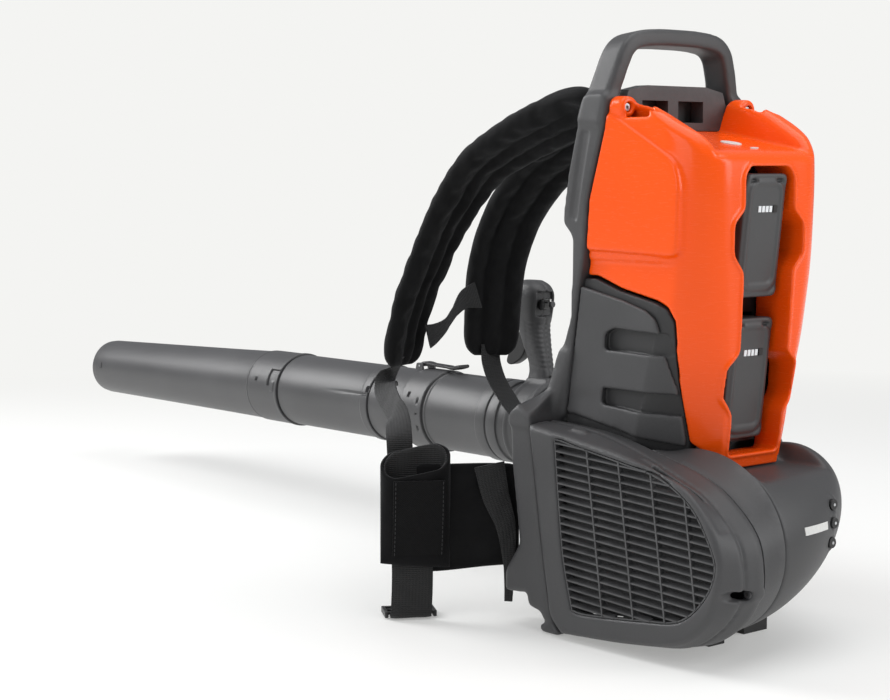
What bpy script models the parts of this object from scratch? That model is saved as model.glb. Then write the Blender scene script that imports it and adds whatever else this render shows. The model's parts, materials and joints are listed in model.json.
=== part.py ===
"""Backpack leaf blower, battery powered, as separate sub-parts in metres.

Frame of the model: +X is the wearer's right, +Y is forward (the way the tube
blows), +Z is up.  The floor is z = 0 and the origin lies on the underside of
the base skid, straight below the line between the cover's two top screws.

A "solid" is a (vertices, faces) pair.  The toolbox makes solids, build() turns
one into a named object, and cut(), join() and keep_within() work further
solids into that object.  All solids are given in the model's frame.
"""
import math
from collections import namedtuple

import bpy
import bmesh
from mathutils import Matrix, Vector

for old in list(bpy.data.objects):
    bpy.data.objects.remove(old, do_unlink=True)

ROOT = bpy.data.objects.new("blower", None)
bpy.context.scene.collection.objects.link(ROOT)

# ------------------------------------------------------------ driving sizes
GAP = 0.0004                 # clearance left between two pieces that fit together
SIDES = ((-1, "left"), (1, "right"))    # sign of X and name of each side

BODY_HALF_W = 0.095          # half width of the pack at its flat sides
SHELL_FRONT_Y = 0.066        # where the covers' side walls end before trimming
CORNER_STEPS = 6             # segments in each rounded rear corner
RAIL_IN = 0.079              # inner side of the frame's rails
HANDLE_D = 0.030             # depth of the carry handle
HANDLE_T = 0.016             # height of its bar
HANDLE_CHAMFER = 0.0035

TUBE_X, TUBE_Z = 0.140, 0.143    # blow tube axis, parallel to Y
TUBE_CENTRE = (TUBE_X, 0, TUBE_Z)
TUBE_R = 0.046               # outer radius of the blow tube
TUBE_WALL = 0.0025
TUBE_BORE = TUBE_R - TUBE_WALL
TUBE_SIDES = 28
HOSE_SIDES = 24
HOSE_YAW_Y = 0.162           # flex planes of the hose
HOSE_PITCH_Y = 0.236
TUBE_JOIN_Y = 0.609          # control tube to front tube
NOZZLE_JOIN_Y = 0.8000       # front tube to nozzle
NOZZLE_TAPER_Y = 0.8700      # where the nozzle starts to narrow and droop
NOZZLE_TIP_Y = 1.285
NOZZLE_DROOP = 0.007         # how far the nozzle's tip hangs below the tube axis
NOZZLE_TIP_R = 0.0380

FAN_Y, FAN_Z = -0.078, 0.098     # fan axis, parallel to X
FAN_CENTRE = (0, FAN_Y, FAN_Z)
FAN_RY, FAN_RZ = 0.098, 0.084
FAN_X0, FAN_X1 = -0.060, 0.099   # the dome starts to close / its far pole
FAN_RISE = 0.039             # how far the dome's middle climbs by the pole
FAN_WALL = 0.003
DOME_SIDES = 28
SADDLE_Z = 0.1590            # flat seat below the battery cover
SADDLE_HALF_W = 0.052
IMPELLER_R = 0.068
ROTOR_ORIGIN = (-0.060, FAN_Y, FAN_Z)
SHAFT_R = 0.005
SHAFT_FIT = 0.0003           # clearance of the shaft in its bearings
MOTOR_R = 0.0365

BATT_HW = 0.0295             # half width of a battery
BATT_FRONT_Y = 0.010
# battery: (lower z, upper z, y of the rear face's top edge, y of its bottom edge)
BATTERIES = {
    "upper": (0.316, 0.432, -0.1010, -0.0880),
    "lower": (0.184, 0.300, -0.0865, -0.0735),
}

# ------------------------------------------------------------ finishes
Finish = namedtuple("Finish", "colour rough metal", defaults=(0.0,))

DARK = (0.055, 0.055, 0.058)
DARKER = (0.028, 0.028, 0.030)
STEEL = (0.56, 0.57, 0.58)

CASING = Finish(DARK, rough=0.5)
DUCT = Finish(DARK, rough=0.45)
ORANGE_GLOSS = Finish((0.90, 0.115, 0.012), rough=0.22)
DARK_SMOOTH = Finish(DARKER, rough=0.4)
TERMINAL = Finish(DARKER, rough=0.45)
FITTING = Finish(DARKER, rough=0.5)
LATCH = Finish(DARKER, rough=0.55)
DARK_MATT = Finish(DARKER, rough=0.6)
SCREW_STEEL = Finish(STEEL, rough=0.35, metal=1.0)
SHAFT_STEEL = Finish(STEEL, rough=0.3, metal=1.0)
BEARING_STEEL = Finish(STEEL, rough=0.25, metal=1.0)
COPPER = Finish((0.55, 0.25, 0.10), rough=0.4, metal=0.8)
MOTOR_METAL = Finish((0.4, 0.4, 0.42), rough=0.35, metal=0.9)
BOARD = Finish((0.02, 0.10, 0.05), rough=0.4)
FABRIC = Finish((0.010, 0.010, 0.011), rough=0.9)


def material(name, finish):
    mat = bpy.data.materials.new(name)
    mat.use_nodes = True
    shader = mat.node_tree.nodes["Principled BSDF"]
    shader.inputs["Base Color"].default_value = (*finish.colour, 1.0)
    shader.inputs["Roughness"].default_value = finish.rough
    shader.inputs["Metallic"].default_value = finish.metal
    return mat


# ------------------------------------------------------------ objects and booleans
def make_mesh(name, solid, weld):
    """Mesh of a solid with its faces turned outwards."""
    verts, faces = solid
    mesh = bpy.data.meshes.new(name)
    bm = bmesh.new()
    bm_verts = [bm.verts.new(v) for v in verts]
    for face in faces:
        # guards against a face met twice in a mesh that a boolean produced
        try:
            bm.faces.new([bm_verts[i] for i in face])
        except ValueError:
            pass
    if weld:
        bmesh.ops.remove_doubles(bm, verts=bm.verts, dist=1e-6)
    bmesh.ops.recalc_face_normals(bm, faces=bm.faces)
    bm.to_mesh(mesh)
    bm.free()
    return mesh


def build(name, solid, finish, origin=None):
    """A solid as a named object with a material of the same name."""
    mesh = make_mesh(name, solid, weld=True)
    ob = bpy.data.objects.new(name, mesh)
    bpy.context.scene.collection.objects.link(ob)
    ob.parent = ROOT
    mesh.materials.append(material(name, finish))
    if origin is not None:
        mesh.transform(Matrix.Translation(-Vector(origin)))
        ob.location = origin
    return ob


def combine(ob, solid, operation):
    """Boolean with a helper solid, applied to the object's mesh."""
    helper = bpy.data.objects.new("helper", make_mesh("helper", solid, weld=False))
    bpy.context.scene.collection.objects.link(helper)
    helper.hide_render = True
    mod = ob.modifiers.new("cut", "BOOLEAN")
    mod.operation = operation
    mod.solver = "EXACT"
    mod.object = helper
    bpy.context.view_layer.update()
    depsgraph = bpy.context.evaluated_depsgraph_get()
    result = bpy.data.meshes.new_from_object(ob.evaluated_get(depsgraph))
    ob.modifiers.clear()
    own_material = ob.data.materials[0]
    ob.data = result
    result.materials.clear()
    result.materials.append(own_material)
    for polygon in result.polygons:
        polygon.material_index = 0
    bpy.data.objects.remove(helper, do_unlink=True)


def cut(ob, solid):
    combine(ob, solid, "DIFFERENCE")


def join(ob, solid):
    combine(ob, solid, "UNION")


def keep_within(ob, solid):
    combine(ob, solid, "INTERSECT")


def mirrored(name, ob, finish):
    """The same piece for the other side of the pack."""
    verts = [(-v.co.x, v.co.y, v.co.z) for v in ob.data.vertices]
    faces = [tuple(reversed(p.vertices)) for p in ob.data.polygons]
    return build(name, (verts, faces), finish)


# ------------------------------------------------------------ solids
def loft(rings, loop=False):
    """Skin between rings of equal length; loop joins last to first, else ends are capped."""
    n = len(rings[0])
    count = len(rings)
    verts = [v for ring in rings for v in ring]
    faces = []
    for i in range(count if loop else count - 1):
        a, b = i * n, ((i + 1) % count) * n
        for k in range(n):
            k2 = (k + 1) % n
            faces.append((a + k, a + k2, b + k2, b + k))
    if not loop:
        faces.append(tuple(range(n - 1, -1, -1)))
        faces.append(tuple((count - 1) * n + k for k in range(n)))
    return verts, faces


def prism_x(outline, x0, x1):
    """Outline of (y, z) pushed along X."""
    return loft([[(x, y, z) for y, z in outline] for x in (x0, x1)])


def prism_y(outline, y0, y1):
    """Outline of (x, z) pushed along Y."""
    return loft([[(x, y, z) for x, z in outline] for y in (y0, y1)])


def prism_z(outline, z0, z1):
    """Outline of (x, y) pushed along Z."""
    return loft([[(x, y, z) for x, y in outline] for z in (z0, z1)])


def box(x0, x1, y0, y1, z0, z1):
    return prism_z([(x0, y0), (x1, y0), (x1, y1), (x0, y1)], z0, z1)


def side_span(sign, inner, outer):
    """X range between two distances from the middle, on one side, lowest first."""
    return sorted((sign * inner, sign * outer))


def unit_circle(n, shift=0):
    """(cos, sin) of n even steps; shift turns the circle by that part of a step."""
    angles = [2 * math.pi * (k + shift) / n for k in range(n)]
    return [(math.cos(a), math.sin(a)) for a in angles]


def turned(profile, axis, centre, sides):
    """Closed profile of (along, radius) turned about the X or Y axis: a ring solid."""
    cx, cy, cz = centre
    rings = []
    for c, s in unit_circle(sides):
        if axis == "Y":
            rings.append([(cx + r * c, cy + t, cz + r * s) for t, r in profile])
        else:
            rings.append([(cx + t, cy + r * c, cz + r * s) for t, r in profile])
    return loft(rings, loop=True)


def rod(axis, centre, radius, start, end, sides):
    """Solid cylinder between two places along the X or Y axis."""
    cx, cy, cz = centre
    circle = [(radius * c, radius * s) for c, s in unit_circle(sides, 0.5)]
    if axis == "X":
        return loft([[(t, cy + u, cz + v) for u, v in circle] for t in (start, end)])
    return loft([[(cx + u, t, cz + v) for u, v in circle] for t in (start, end)])


def sweep(path, section, across):
    """Section points (along across, square to it) carried along a path of points."""
    rings = []
    points = [Vector(p) for p in path]
    for i, p in enumerate(points):
        tangent = (points[min(i + 1, len(points) - 1)] - points[max(i - 1, 0)]).normalized()
        u = Vector(across)
        u = (u - tangent * u.dot(tangent)).normalized()
        v = tangent.cross(u)
        rings.append([tuple(p + u * a + v * b) for a, b in section])
    return loft(rings)


# ------------------------------------------------------------ upper body skin
# z, rear face y, half width of the rear flat, y where the side leaves the
# flat, exponent of the corner curve (1 = plain chamfer, 2 = round)
BODY = [
    (0.155, -0.0820, 0.0385, -0.020, 1.00),
    (0.190, -0.0880, 0.0420, -0.025, 1.05),
    (0.240, -0.0935, 0.0440, -0.036, 1.25),
    (0.270, -0.0975, 0.0455, -0.045, 1.45),
    (0.350, -0.1015, 0.0520, -0.050, 1.80),
    (0.430, -0.1020, 0.0520, -0.052, 2.00),
    (0.460, -0.1000, 0.0520, -0.050, 2.00),
    (0.520, -0.0940, 0.0500, -0.046, 2.00),
]
# seam between the frame's rails and the covers, from the top down: (y, z)
SEAM = [(0.013, 0.503), (0.018, 0.470), (0.037, 0.406), (0.041, 0.354),
        (0.047, 0.325), (0.053, 0.284), (0.061, 0.231), (0.063, 0.206)]
# lower border of the orange cover on the sides: (y, z)
BORDER = [(0.030, 0.3345), (-0.001, 0.324), (-0.046, 0.3150), (-0.058, 0.310),
          (-0.064, 0.299), (-0.064, 0.282), (-0.061, 0.227), (-0.062, 0.1865)]


def body_at(z):
    """The BODY values at a level, read straight between its rows."""
    low, high = next((a, b) for a, b in zip(BODY, BODY[1:]) if z <= b[0])
    f = (z - low[0]) / (high[0] - low[0])
    return tuple(p + (q - p) * f for p, q in zip(low[1:], high[1:]))


def body_contour(z, inset, y_front):
    """Open U-shaped outline of (x, y) at a level, left front to right front."""
    rear_y, flat_half_w, corner_y, exponent = body_at(z)
    corner = []
    for k in range(CORNER_STEPS + 1):
        a = 0.5 * math.pi * k / CORNER_STEPS
        c, s = math.cos(a) ** (2 / exponent), math.sin(a) ** (2 / exponent)
        corner.append((flat_half_w + (BODY_HALF_W - flat_half_w) * c,
                       corner_y + (rear_y - corner_y) * s))
    # move the corner inwards by the inset, square to the outline
    moved = []
    for i, (x, y) in enumerate(corner):
        if i == 0:
            nx, ny = 1.0, 0.0
        elif i == CORNER_STEPS:
            nx, ny = 0.0, -1.0
        else:
            dx = corner[i + 1][0] - corner[i - 1][0]
            dy = corner[i + 1][1] - corner[i - 1][1]
            length = math.hypot(dx, dy)
            nx, ny = -dy / length, dx / length
        moved.append((x - nx * inset, y - ny * inset))
    half_w = BODY_HALF_W - inset
    left = [(-x, y) for x, y in moved]
    return [(-half_w, y_front)] + left + moved[::-1] + [(half_w, y_front)]


def body_shell(levels, inset, wall):
    rings = []
    for z in levels:
        outer = body_contour(z, inset, SHELL_FRONT_Y)
        inner = body_contour(z, inset + wall, SHELL_FRONT_Y)
        rings.append([(x, y, z) for x, y in outer + inner[::-1]])
    return loft(rings)


# ------------------------------------------------------------ back frame
# outlines of (y, z)
RAIL_FRONT = [(0.043, 0.503), (0.062, 0.432), (0.070, 0.384), (0.056, 0.371),
              (0.058, 0.295), (0.076, 0.245), (0.090, 0.199)]
BACK_PLATE = [(0.030, 0.490), (0.040, 0.490), (0.054, 0.432), (0.060, 0.384), (0.052, 0.371),
              (0.054, 0.295), (0.072, 0.245), (0.085, 0.199), (0.066, 0.199), (0.060, 0.240),
              (0.047, 0.295), (0.044, 0.371), (0.046, 0.425)]
LOWER_BODY = [(0.0714, 0.200), (0.088, 0.215), (0.094, 0.200), (0.084, 0.120), (0.081, 0.081),
              (0.101, 0.050), (0.101, 0.034), (0.0735, 0.0340), (0.0715, 0.0225),
              (0.0480, 0.0125), (0.0385, 0.0125), (0.0458, 0.0411), (0.0543, 0.0862)]
FRONT_FOOT = [(0.0300, 0.0), (0.0545, 0.0), (0.0600, 0.0055), (0.0565, 0.0300),
              (0.0440, 0.0300), (0.0400, 0.0120)]
# half of the carry handle's centre line, from the rail up to the middle: (x, y, z)
HANDLE_LEG = [(0.0840, 0.0310, 0.495), (0.0770, 0.0275, 0.515), (0.0703, 0.0257, 0.530),
              (0.0625, 0.0245, 0.5410), (0.0520, 0.0243, 0.5485), (0.0350, 0.0243, 0.5545)]
# shoulder from the left rail out to the wide lower body: x, outline of (y, z)
SHOULDER = [
    (-0.079, [(0.0715, 0.196), (0.088, 0.196), (0.070, 0.262), (0.058, 0.262)]),
    (-0.096, [(0.0715, 0.196), (0.088, 0.196), (0.070, 0.262), (0.058, 0.262)]),
    (-0.104, [(0.0718, 0.196), (0.089, 0.196), (0.083, 0.226), (0.0718, 0.226)]),
    (-0.1355, [(0.0718, 0.196), (0.093, 0.196), (0.0925, 0.203), (0.0720, 0.203)]),
]


def rail(x0, x1):
    return prism_x(SEAM[:-1] + [(0.0645, 0.199)] + RAIL_FRONT[::-1], x0, x1)


def carry_handle():
    """One swept bar with chamfered edges, standing on the two rails."""
    path = [(-x, y, z) for x, y, z in HANDLE_LEG] + HANDLE_LEG[::-1]
    d, h, c = HANDLE_D / 2, HANDLE_T / 2, HANDLE_CHAMFER
    section = [(-d + c, -h), (d - c, -h), (d, -h + c), (d, h - c),
               (d - c, h), (-d + c, h), (-d, h - c), (-d, -h + c)]
    return sweep(path, section, across=(0, 1, -0.1))


def back_frame():
    rail_out = BODY_HALF_W + 0.001
    frame = build("back_frame", rail(-rail_out, -RAIL_IN), CASING)
    join(frame, rail(RAIL_IN, rail_out))
    join(frame, carry_handle())
    plate_half_w = RAIL_IN + 0.002
    join(frame, prism_x(BACK_PLATE, -plate_half_w, plate_half_w))
    # wider on the left, where the intake sits
    join(frame, prism_x(LOWER_BODY, -0.136, 0.0795))
    join(frame, loft([[(x, y, z) for y, z in outline] for x, outline in SHOULDER]))
    # front feet, moulded in one with the frame
    for x0, x1 in ((-0.1345, -0.1180), (0.0600, 0.0780)):
        join(frame, prism_x(FRONT_FOOT, x0, x1))
    # open the lower body from behind so it is a tray
    cut(frame, box(-0.126, 0.070, 0.000, 0.0700, 0.050, 0.180))


# panel between the rails, under the carry handle: (x, z)
VENT_OUTLINE = [(-0.0710, 0.490), (-0.0650, 0.507), (-0.040, 0.512), (0.040, 0.512),
                (0.0650, 0.507), (0.0710, 0.490), (0.073, 0.4705), (-0.073, 0.4705)]


def vent_panel():
    panel = build("vent_panel", prism_y(VENT_OUTLINE, 0.0135, 0.0290), CASING)
    for x0, x1 in ((-0.047, -0.012), (0.002, 0.037)):
        cut(panel, box(x0, x1, 0.010, 0.035, 0.478, 0.498))


# ------------------------------------------------------------ orange battery cover
COVER_LEVELS = (0.158, 0.190, 0.240, 0.270, 0.350, 0.430, 0.460, 0.5005)
COVER_SEAM_GAP = 0.0007
COVER_SCREW_X, COVER_SCREW_Z = 0.083, 0.4905
# what is taken off above the sloping top: (y, z)
ABOVE_COVER = [(0.06, 0.5005), (0.012, 0.5005), (-0.020, 0.4950), (-0.045, 0.4840),
               (-0.081, 0.4650), (-0.150, 0.4300), (-0.15, 0.60), (0.06, 0.60)]
DECK_FRONT_Y = 0.0120
DECK_FRONT_Z = 0.4655
DECK_T = 0.0032
DECK_SLOPE = 0.184           # rise of the deck per length towards the front
# right half of the batteries' window, notched halfway up each battery: (x, z)
WINDOW_HALF = [(0.026, 0.437), (0.0335, 0.428), (0.0335, 0.398), (0.0475, 0.385),
               (0.0475, 0.358), (0.0335, 0.342), (0.0325, 0.268), (0.0470, 0.255),
               (0.0470, 0.228), (0.0350, 0.212), (0.0335, 0.1740)]


def cover_deck():
    """Sloping plate that closes the top of the cover."""
    outline = body_contour(0.455, 0.0015, DECK_FRONT_Y)
    return loft([[(x, y, DECK_FRONT_Z + dz + DECK_SLOPE * (y - DECK_FRONT_Y))
                  for x, y in outline] for dz in (0.0, DECK_T)])


def battery_cover():
    cover = build("battery_cover", body_shell(COVER_LEVELS, inset=0.0, wall=0.003), ORANGE_GLOSS)
    # everything ahead of the seam with the rails
    seam = [(y - COVER_SEAM_GAP, z) for y, z in SEAM]
    ahead = [(seam[0][0], 0.52)] + seam + [(0.064, 0.10), (0.12, 0.10), (0.12, 0.52)]
    cut(cover, prism_x(ahead, -0.2, 0.2))
    # everything below the border on the sides
    below = ([(0.10, 0.3345)] + BORDER
             + [(-0.090, 0.1570), (-0.110, 0.150), (-0.110, 0.10), (0.10, 0.10)])
    for sign, _ in SIDES:
        cut(cover, prism_x(below, *side_span(sign, 0.0400, 0.2)))
    cut(cover, box(-0.2, 0.2, -0.2, 0.2, 0.10, 0.1625))
    cut(cover, prism_x(ABOVE_COVER, -0.2, 0.2))
    join(cover, cover_deck())
    window = WINDOW_HALF + [(-x, z) for x, z in reversed(WINDOW_HALF)]
    cut(cover, prism_y(window, -0.13, -0.060))
    # screw bosses at the top corners
    for sign, _ in SIDES:
        centre = (sign * COVER_SCREW_X, 0, COVER_SCREW_Z)
        join(cover, rod("Y", centre, 0.0100, -0.004, 0.0120, 12))
        cut(cover, rod("Y", centre, 0.0042, -0.010, 0.0200, 12))


def cover_screws():
    for sign, side in SIDES:
        centre = (sign * COVER_SCREW_X, 0, COVER_SCREW_Z)
        screw = build("cover_screw_" + side, rod("Y", centre, 0.0036, -0.0020, 0.0125, 10),
                      SCREW_STEEL)
        # six-sided socket in the rear end
        cut(screw, rod("Y", centre, 0.0018, -0.0100, 0.0010, 6))


# ------------------------------------------------------------ side covers
SIDE_LEVELS = (0.176, 0.190, 0.240, 0.270, 0.340)
SIDE_SEAM_GAP = 0.0008
# lower edge of a side cover, rear to front: (y, z)
SIDE_BOTTOM = [(-0.058, 0.1860), (-0.048, 0.1900), (0.000, 0.1985), (0.050, 0.2060),
               (0.0620, 0.2065)]


def side_covers():
    cover = build("side_cover_right", body_shell(SIDE_LEVELS, inset=0.0008, wall=0.0050), CASING)
    front = [(y - SIDE_SEAM_GAP, z) for y, z in SEAM[:-1] if z < 0.33]
    top = [(0.0445, 0.3330), (0.030, 0.3330)] + [(y + 0.0006, z - 0.0012) for y, z in BORDER[1:]]
    keep_within(cover, prism_x(top + SIDE_BOTTOM + front[::-1], 0.040, 0.2))
    # two long grooves in the outer face
    for z0, z1 in ((0.268, 0.285), (0.214, 0.230)):
        cut(cover, box(0.0912, 0.12, -0.070, 0.014, z0, z1))
    mirrored("side_cover_left", cover, CASING)


# ------------------------------------------------------------ battery bay
def battery_bay():
    bay = build("battery_bay", box(-0.0370, 0.0370, -0.0560, 0.0200, 0.1800, 0.4400), DARK_MATT)
    for z0, z1, _, _ in BATTERIES.values():
        zc = (z0 + z1) / 2
        # battery pocket, wider notches at the rear, terminal opening in the front wall
        cut(bay, box(-0.0310, 0.0310, -0.090, 0.0155, z0 - 0.0012, z1 + 0.0012))
        cut(bay, box(-0.0345, 0.0345, -0.090, -0.0400, zc - 0.0165, zc + 0.0165))
        cut(bay, box(-0.0100, 0.0100, 0.010, 0.0300, zc - 0.012, zc + 0.012))


def terminal_blocks():
    slot_pitch = 0.0068
    for tag, (z0, z1, _, _) in BATTERIES.items():
        zc = (z0 + z1) / 2
        block = build("terminal_block_" + tag,
                      box(-0.0095, 0.0095, 0.0112, 0.0235, zc - 0.0115, zc + 0.0115), TERMINAL)
        for k in (-1, 0, 1):
            z = zc + k * slot_pitch
            cut(block, box(-0.0072, 0.0072, 0.0100, 0.0140, z - 0.0012, z + 0.0012))


def controller_board():
    board = build("controller_board", box(-0.030, 0.030, 0.0260, 0.0276, 0.322, 0.420), BOARD)
    # raised block on its front face
    join(board, box(-0.020, 0.020, 0.0265, 0.0380, 0.345, 0.400))


# ------------------------------------------------------------ batteries, each with two latches
def battery(tag, z0, z1, y_top, y_bottom):
    """Box with chamfered edges and a leaning rear face, recessed for its latches."""
    zc = (z0 + z1) / 2
    hw = BATT_HW
    c = 0.007                # corner chamfer

    def face_y(z):
        return y_bottom + (y_top - y_bottom) * (z - z0) / (z1 - z0)

    outline = [(-hw + c, z0), (hw - c, z0), (hw, z0 + c), (hw, z1 - c),
               (hw - c, z1), (-hw + c, z1), (-hw, z1 - c), (-hw, z0 + c)]
    front = [(x, BATT_FRONT_Y, z) for x, z in outline]
    rear_edge = [(x, face_y(z) + 0.006, z) for x, z in outline]
    rear = [(x * 0.86, face_y(z), zc + (z - zc) * 0.965) for x, z in outline]
    body = build("battery_" + tag, loft([front, rear_edge, rear]), CASING)
    y_mid = face_y(zc)
    for sign, _ in SIDES:
        cut(body, box(*side_span(sign, 0.0205, 0.05), y_mid + 0.0150, y_mid + 0.0360,
                      zc - 0.017, zc + 0.017))
    for sign, side in SIDES:
        latch = battery_latch(sign, y_mid + 0.0158, zc)
        build("battery_latch_%s_%s" % (tag, side), latch, LATCH)


def battery_latch(sign, y0, zc):
    """Pad whose outer face is smaller than its base."""
    def ring(x, y_inset, half_h):
        ya, yb = y0 + y_inset, y0 + 0.018 - y_inset
        return [(sign * x, y, zc + dz) for y, dz in
                ((ya, -half_h), (yb, -half_h), (yb, half_h), (ya, half_h))]

    return loft([ring(0.0242, 0.0, 0.0150), ring(0.0305, 0.0, 0.0150),
                 ring(0.0330, 0.004, 0.0150 * 0.6)])


def batteries():
    for tag, sizes in BATTERIES.items():
        battery(tag, *sizes)


# ------------------------------------------------------------ fan housing
# x of the sections through the dome, outside and inside
DOME_OUTER_X = (-0.0598, -0.046, -0.020, 0.010, 0.040, 0.062, 0.080, 0.091, 0.0975)
DOME_INNER_X = (-0.070, -0.046, -0.020, 0.010, 0.040, 0.062, 0.078, 0.089)
# duct from the dome to the blow tube: y, centre x, centre z, radius
HORN = [(-0.070, 0.030, 0.110, 0.056), (-0.035, 0.060, 0.120, 0.054),
        (0.000, 0.104, 0.134, 0.050), (0.030, 0.134, 0.142, 0.0475),
        (0.050, TUBE_X, TUBE_Z, 0.0475)]
# screws on the rear of the dome: name, x, z
HOUSING_SCREWS = (("top", 0.0270, 0.1320), ("middle", 0.0240, 0.1160),
                  ("bottom", 0.0220, 0.0980))


def dome_at(x):
    """Scale of the dome's section at x and how far its middle has risen there."""
    t = max((x - FAN_X0) / (FAN_X1 - FAN_X0), 0.0)
    return math.sqrt(1 - t * t), FAN_RISE * t ** 1.5


def dome_ring(x, inset=0.0, saddle=True):
    scale, rise = dome_at(x)
    zc = FAN_Z + rise
    ring = []
    for c, s in unit_circle(DOME_SIDES):
        y = FAN_Y + (FAN_RY * scale - inset) * c
        z = zc + (FAN_RZ * scale - inset) * s
        if saddle:
            limit = SADDLE_Z + max(0.0, abs(x) - SADDLE_HALF_W) * 2.2
            z = min(z, limit - inset)
        ring.append((x, y, z))
    return ring


def horn(inset, y_end):
    stations = HORN + [(y_end,) + HORN[-1][1:]]
    return loft([[(x + (r - inset) * c, y, z + (r - inset) * s) for c, s in unit_circle(24)]
                 for y, x, z, r in stations])


def fan_housing_outer():
    """Dome on the right of the fan, with the duct that leads to the hose."""
    dome = build("fan_housing_outer", loft([dome_ring(x) for x in DOME_OUTER_X]), DUCT)
    join(dome, horn(0.0, 0.100))
    cut(dome, loft([dome_ring(x, FAN_WALL) for x in DOME_INNER_X]))
    cut(dome, horn(FAN_WALL, 0.12))
    for tag, x, z in HOUSING_SCREWS:
        housing_screw(dome, tag, x, z)


def housing_screw(dome, tag, x, z):
    """A boss on the dome's rear face, and the screw in its recess."""
    scale, rise = dome_at(x)
    height = (z - (FAN_Z + rise)) / (FAN_RZ * scale)
    y = FAN_Y - FAN_RY * scale * math.sqrt(1 - height ** 2)
    centre = (x, 0, z)
    join(dome, rod("Y", centre, 0.0078, y - 0.0030, y + 0.0070, 12))
    cut(dome, rod("Y", centre, 0.0062, y - 0.0300, y - 0.0002, 12))
    screw = build("housing_screw_" + tag, rod("Y", centre, 0.0054, y - 0.0050, y - 0.0006, 12),
                  FITTING)
    cut(screw, rod("Y", centre, 0.0025, y - 0.0200, y - 0.0028, 6))


def fan_housing_inner():
    """Drum on the left of the dome, with a round inlet in its end wall."""
    right_x, left_x = -0.0604, -0.0865
    inlet_r = 0.052
    rings = []
    for c, s in unit_circle(DOME_SIDES):
        def point(x, ry, rz):
            return (x, FAN_Y + ry * c, FAN_Z + rz * s)

        inner_ry, inner_rz = FAN_RY - FAN_WALL, FAN_RZ - FAN_WALL
        rings.append([point(right_x, FAN_RY, FAN_RZ), point(left_x, FAN_RY, FAN_RZ),
                      point(left_x, inlet_r, inlet_r),
                      point(left_x + FAN_WALL, inlet_r, inlet_r),
                      point(left_x + FAN_WALL, inner_ry, inner_rz),
                      point(right_x, inner_ry, inner_rz)])
    build("fan_housing_inner", loft(rings, loop=True), DUCT)


# ------------------------------------------------------------ impeller and motor
BLADE_COUNT = 9
# outline of one blade: angle from its root in radians, radius
BLADE = ((0.0, 0.0150), (0.12, 0.040), (0.34, IMPELLER_R),
         (0.375, IMPELLER_R), (0.19, 0.040), (0.20, 0.0150))
# rotor shaft with its thick middle: x, radius
SHAFT_PROFILE = ((-0.0800, SHAFT_R), (-0.0050, SHAFT_R), (-0.0050, 0.0150),
                 (0.0330, 0.0150), (0.0330, SHAFT_R), (0.0490, SHAFT_R))
STATOR_PROFILE = [(-0.004, 0.0160), (0.032, 0.0160), (0.032, 0.0330), (-0.004, 0.0330)]
MOTOR_PROFILE = [(-0.0100, 0.0125), (-0.0100, MOTOR_R), (0.0460, MOTOR_R), (0.0460, 0.0120),
                 (0.0400, 0.0120), (0.0400, 0.0335), (-0.0070, 0.0335), (-0.0070, 0.0125)]
# bearings: name, x range, outer radius
BEARINGS = (("front", -0.0098, -0.0072, 0.0120), ("rear", 0.0402, 0.0455, 0.0116))
MOUNT_X0, MOUNT_X1 = -0.0060, 0.0040
MOUNT_ARM_ANGLES = (200, 270, 340)   # degrees from +Y towards +Z
MOUNT_ARM_HALF_W = 0.004
MOUNT_ARM_INSET = 0.0055     # the arms stop this far inside the dome's outer face


def impeller():
    """Swept blades on a disc, with a bore for the shaft."""
    outline = []
    for k in range(BLADE_COUNT):
        a = 2 * math.pi * k / BLADE_COUNT
        for da, r in BLADE:
            outline.append((FAN_Y + r * math.cos(a + da), FAN_Z + r * math.sin(a + da)))
    wheel = build("impeller", prism_x(outline, -0.0800, -0.0600), DARK_SMOOTH, ROTOR_ORIGIN)
    join(wheel, rod("X", FAN_CENTRE, 0.0690, -0.0610, -0.0580, 36))
    cut(wheel, rod("X", FAN_CENTRE, SHAFT_R + GAP, -0.09, -0.05, 16))


def motor():
    shaft = loft([[(x, FAN_Y + r * c, FAN_Z + r * s) for c, s in unit_circle(20)]
                  for x, r in SHAFT_PROFILE])
    build("rotor_shaft", shaft, SHAFT_STEEL, ROTOR_ORIGIN)
    build("motor_stator", turned(STATOR_PROFILE, "X", FAN_CENTRE, 24), COPPER)
    build("motor_housing", turned(MOTOR_PROFILE, "X", FAN_CENTRE, 24), MOTOR_METAL)
    for tag, x0, x1, outer_r in BEARINGS:
        bore = SHAFT_R + SHAFT_FIT
        profile = [(x0, bore), (x0, outer_r), (x1, outer_r), (x1, bore)]
        build("bearing_" + tag, turned(profile, "X", FAN_CENTRE, 16), BEARING_STEEL)


def motor_mount():
    """Ring around the motor with three arms out to the dome."""
    x0, x1, w = MOUNT_X0, MOUNT_X1, MOUNT_ARM_HALF_W
    bore = MOTOR_R + GAP
    profile = [(x0, bore), (x0, 0.0400), (x1, 0.0400), (x1, bore)]
    mount = build("motor_mount", turned(profile, "X", FAN_CENTRE, 24), CASING)
    scale, rise = dome_at(x1)
    reach_y = FAN_RY * scale - MOUNT_ARM_INSET
    reach_z = FAN_RZ * scale - MOUNT_ARM_INSET
    for degrees in MOUNT_ARM_ANGLES:
        a = math.radians(degrees)
        c, s = math.cos(a), math.sin(a)
        # step outwards until the arm meets the inside of the dome
        end_r = 0.0
        while math.hypot((c * end_r) / reach_y, (s * end_r - rise) / reach_z) < 1.0:
            end_r += 0.0002
        arm = [[(x, FAN_Y + c * r - s * v, FAN_Z + s * r + c * v)
                for x, v in ((x0, -w), (x1, -w), (x1, w), (x0, w))] for r in (0.0380, end_r)]
        join(mount, loft(arm))


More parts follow.
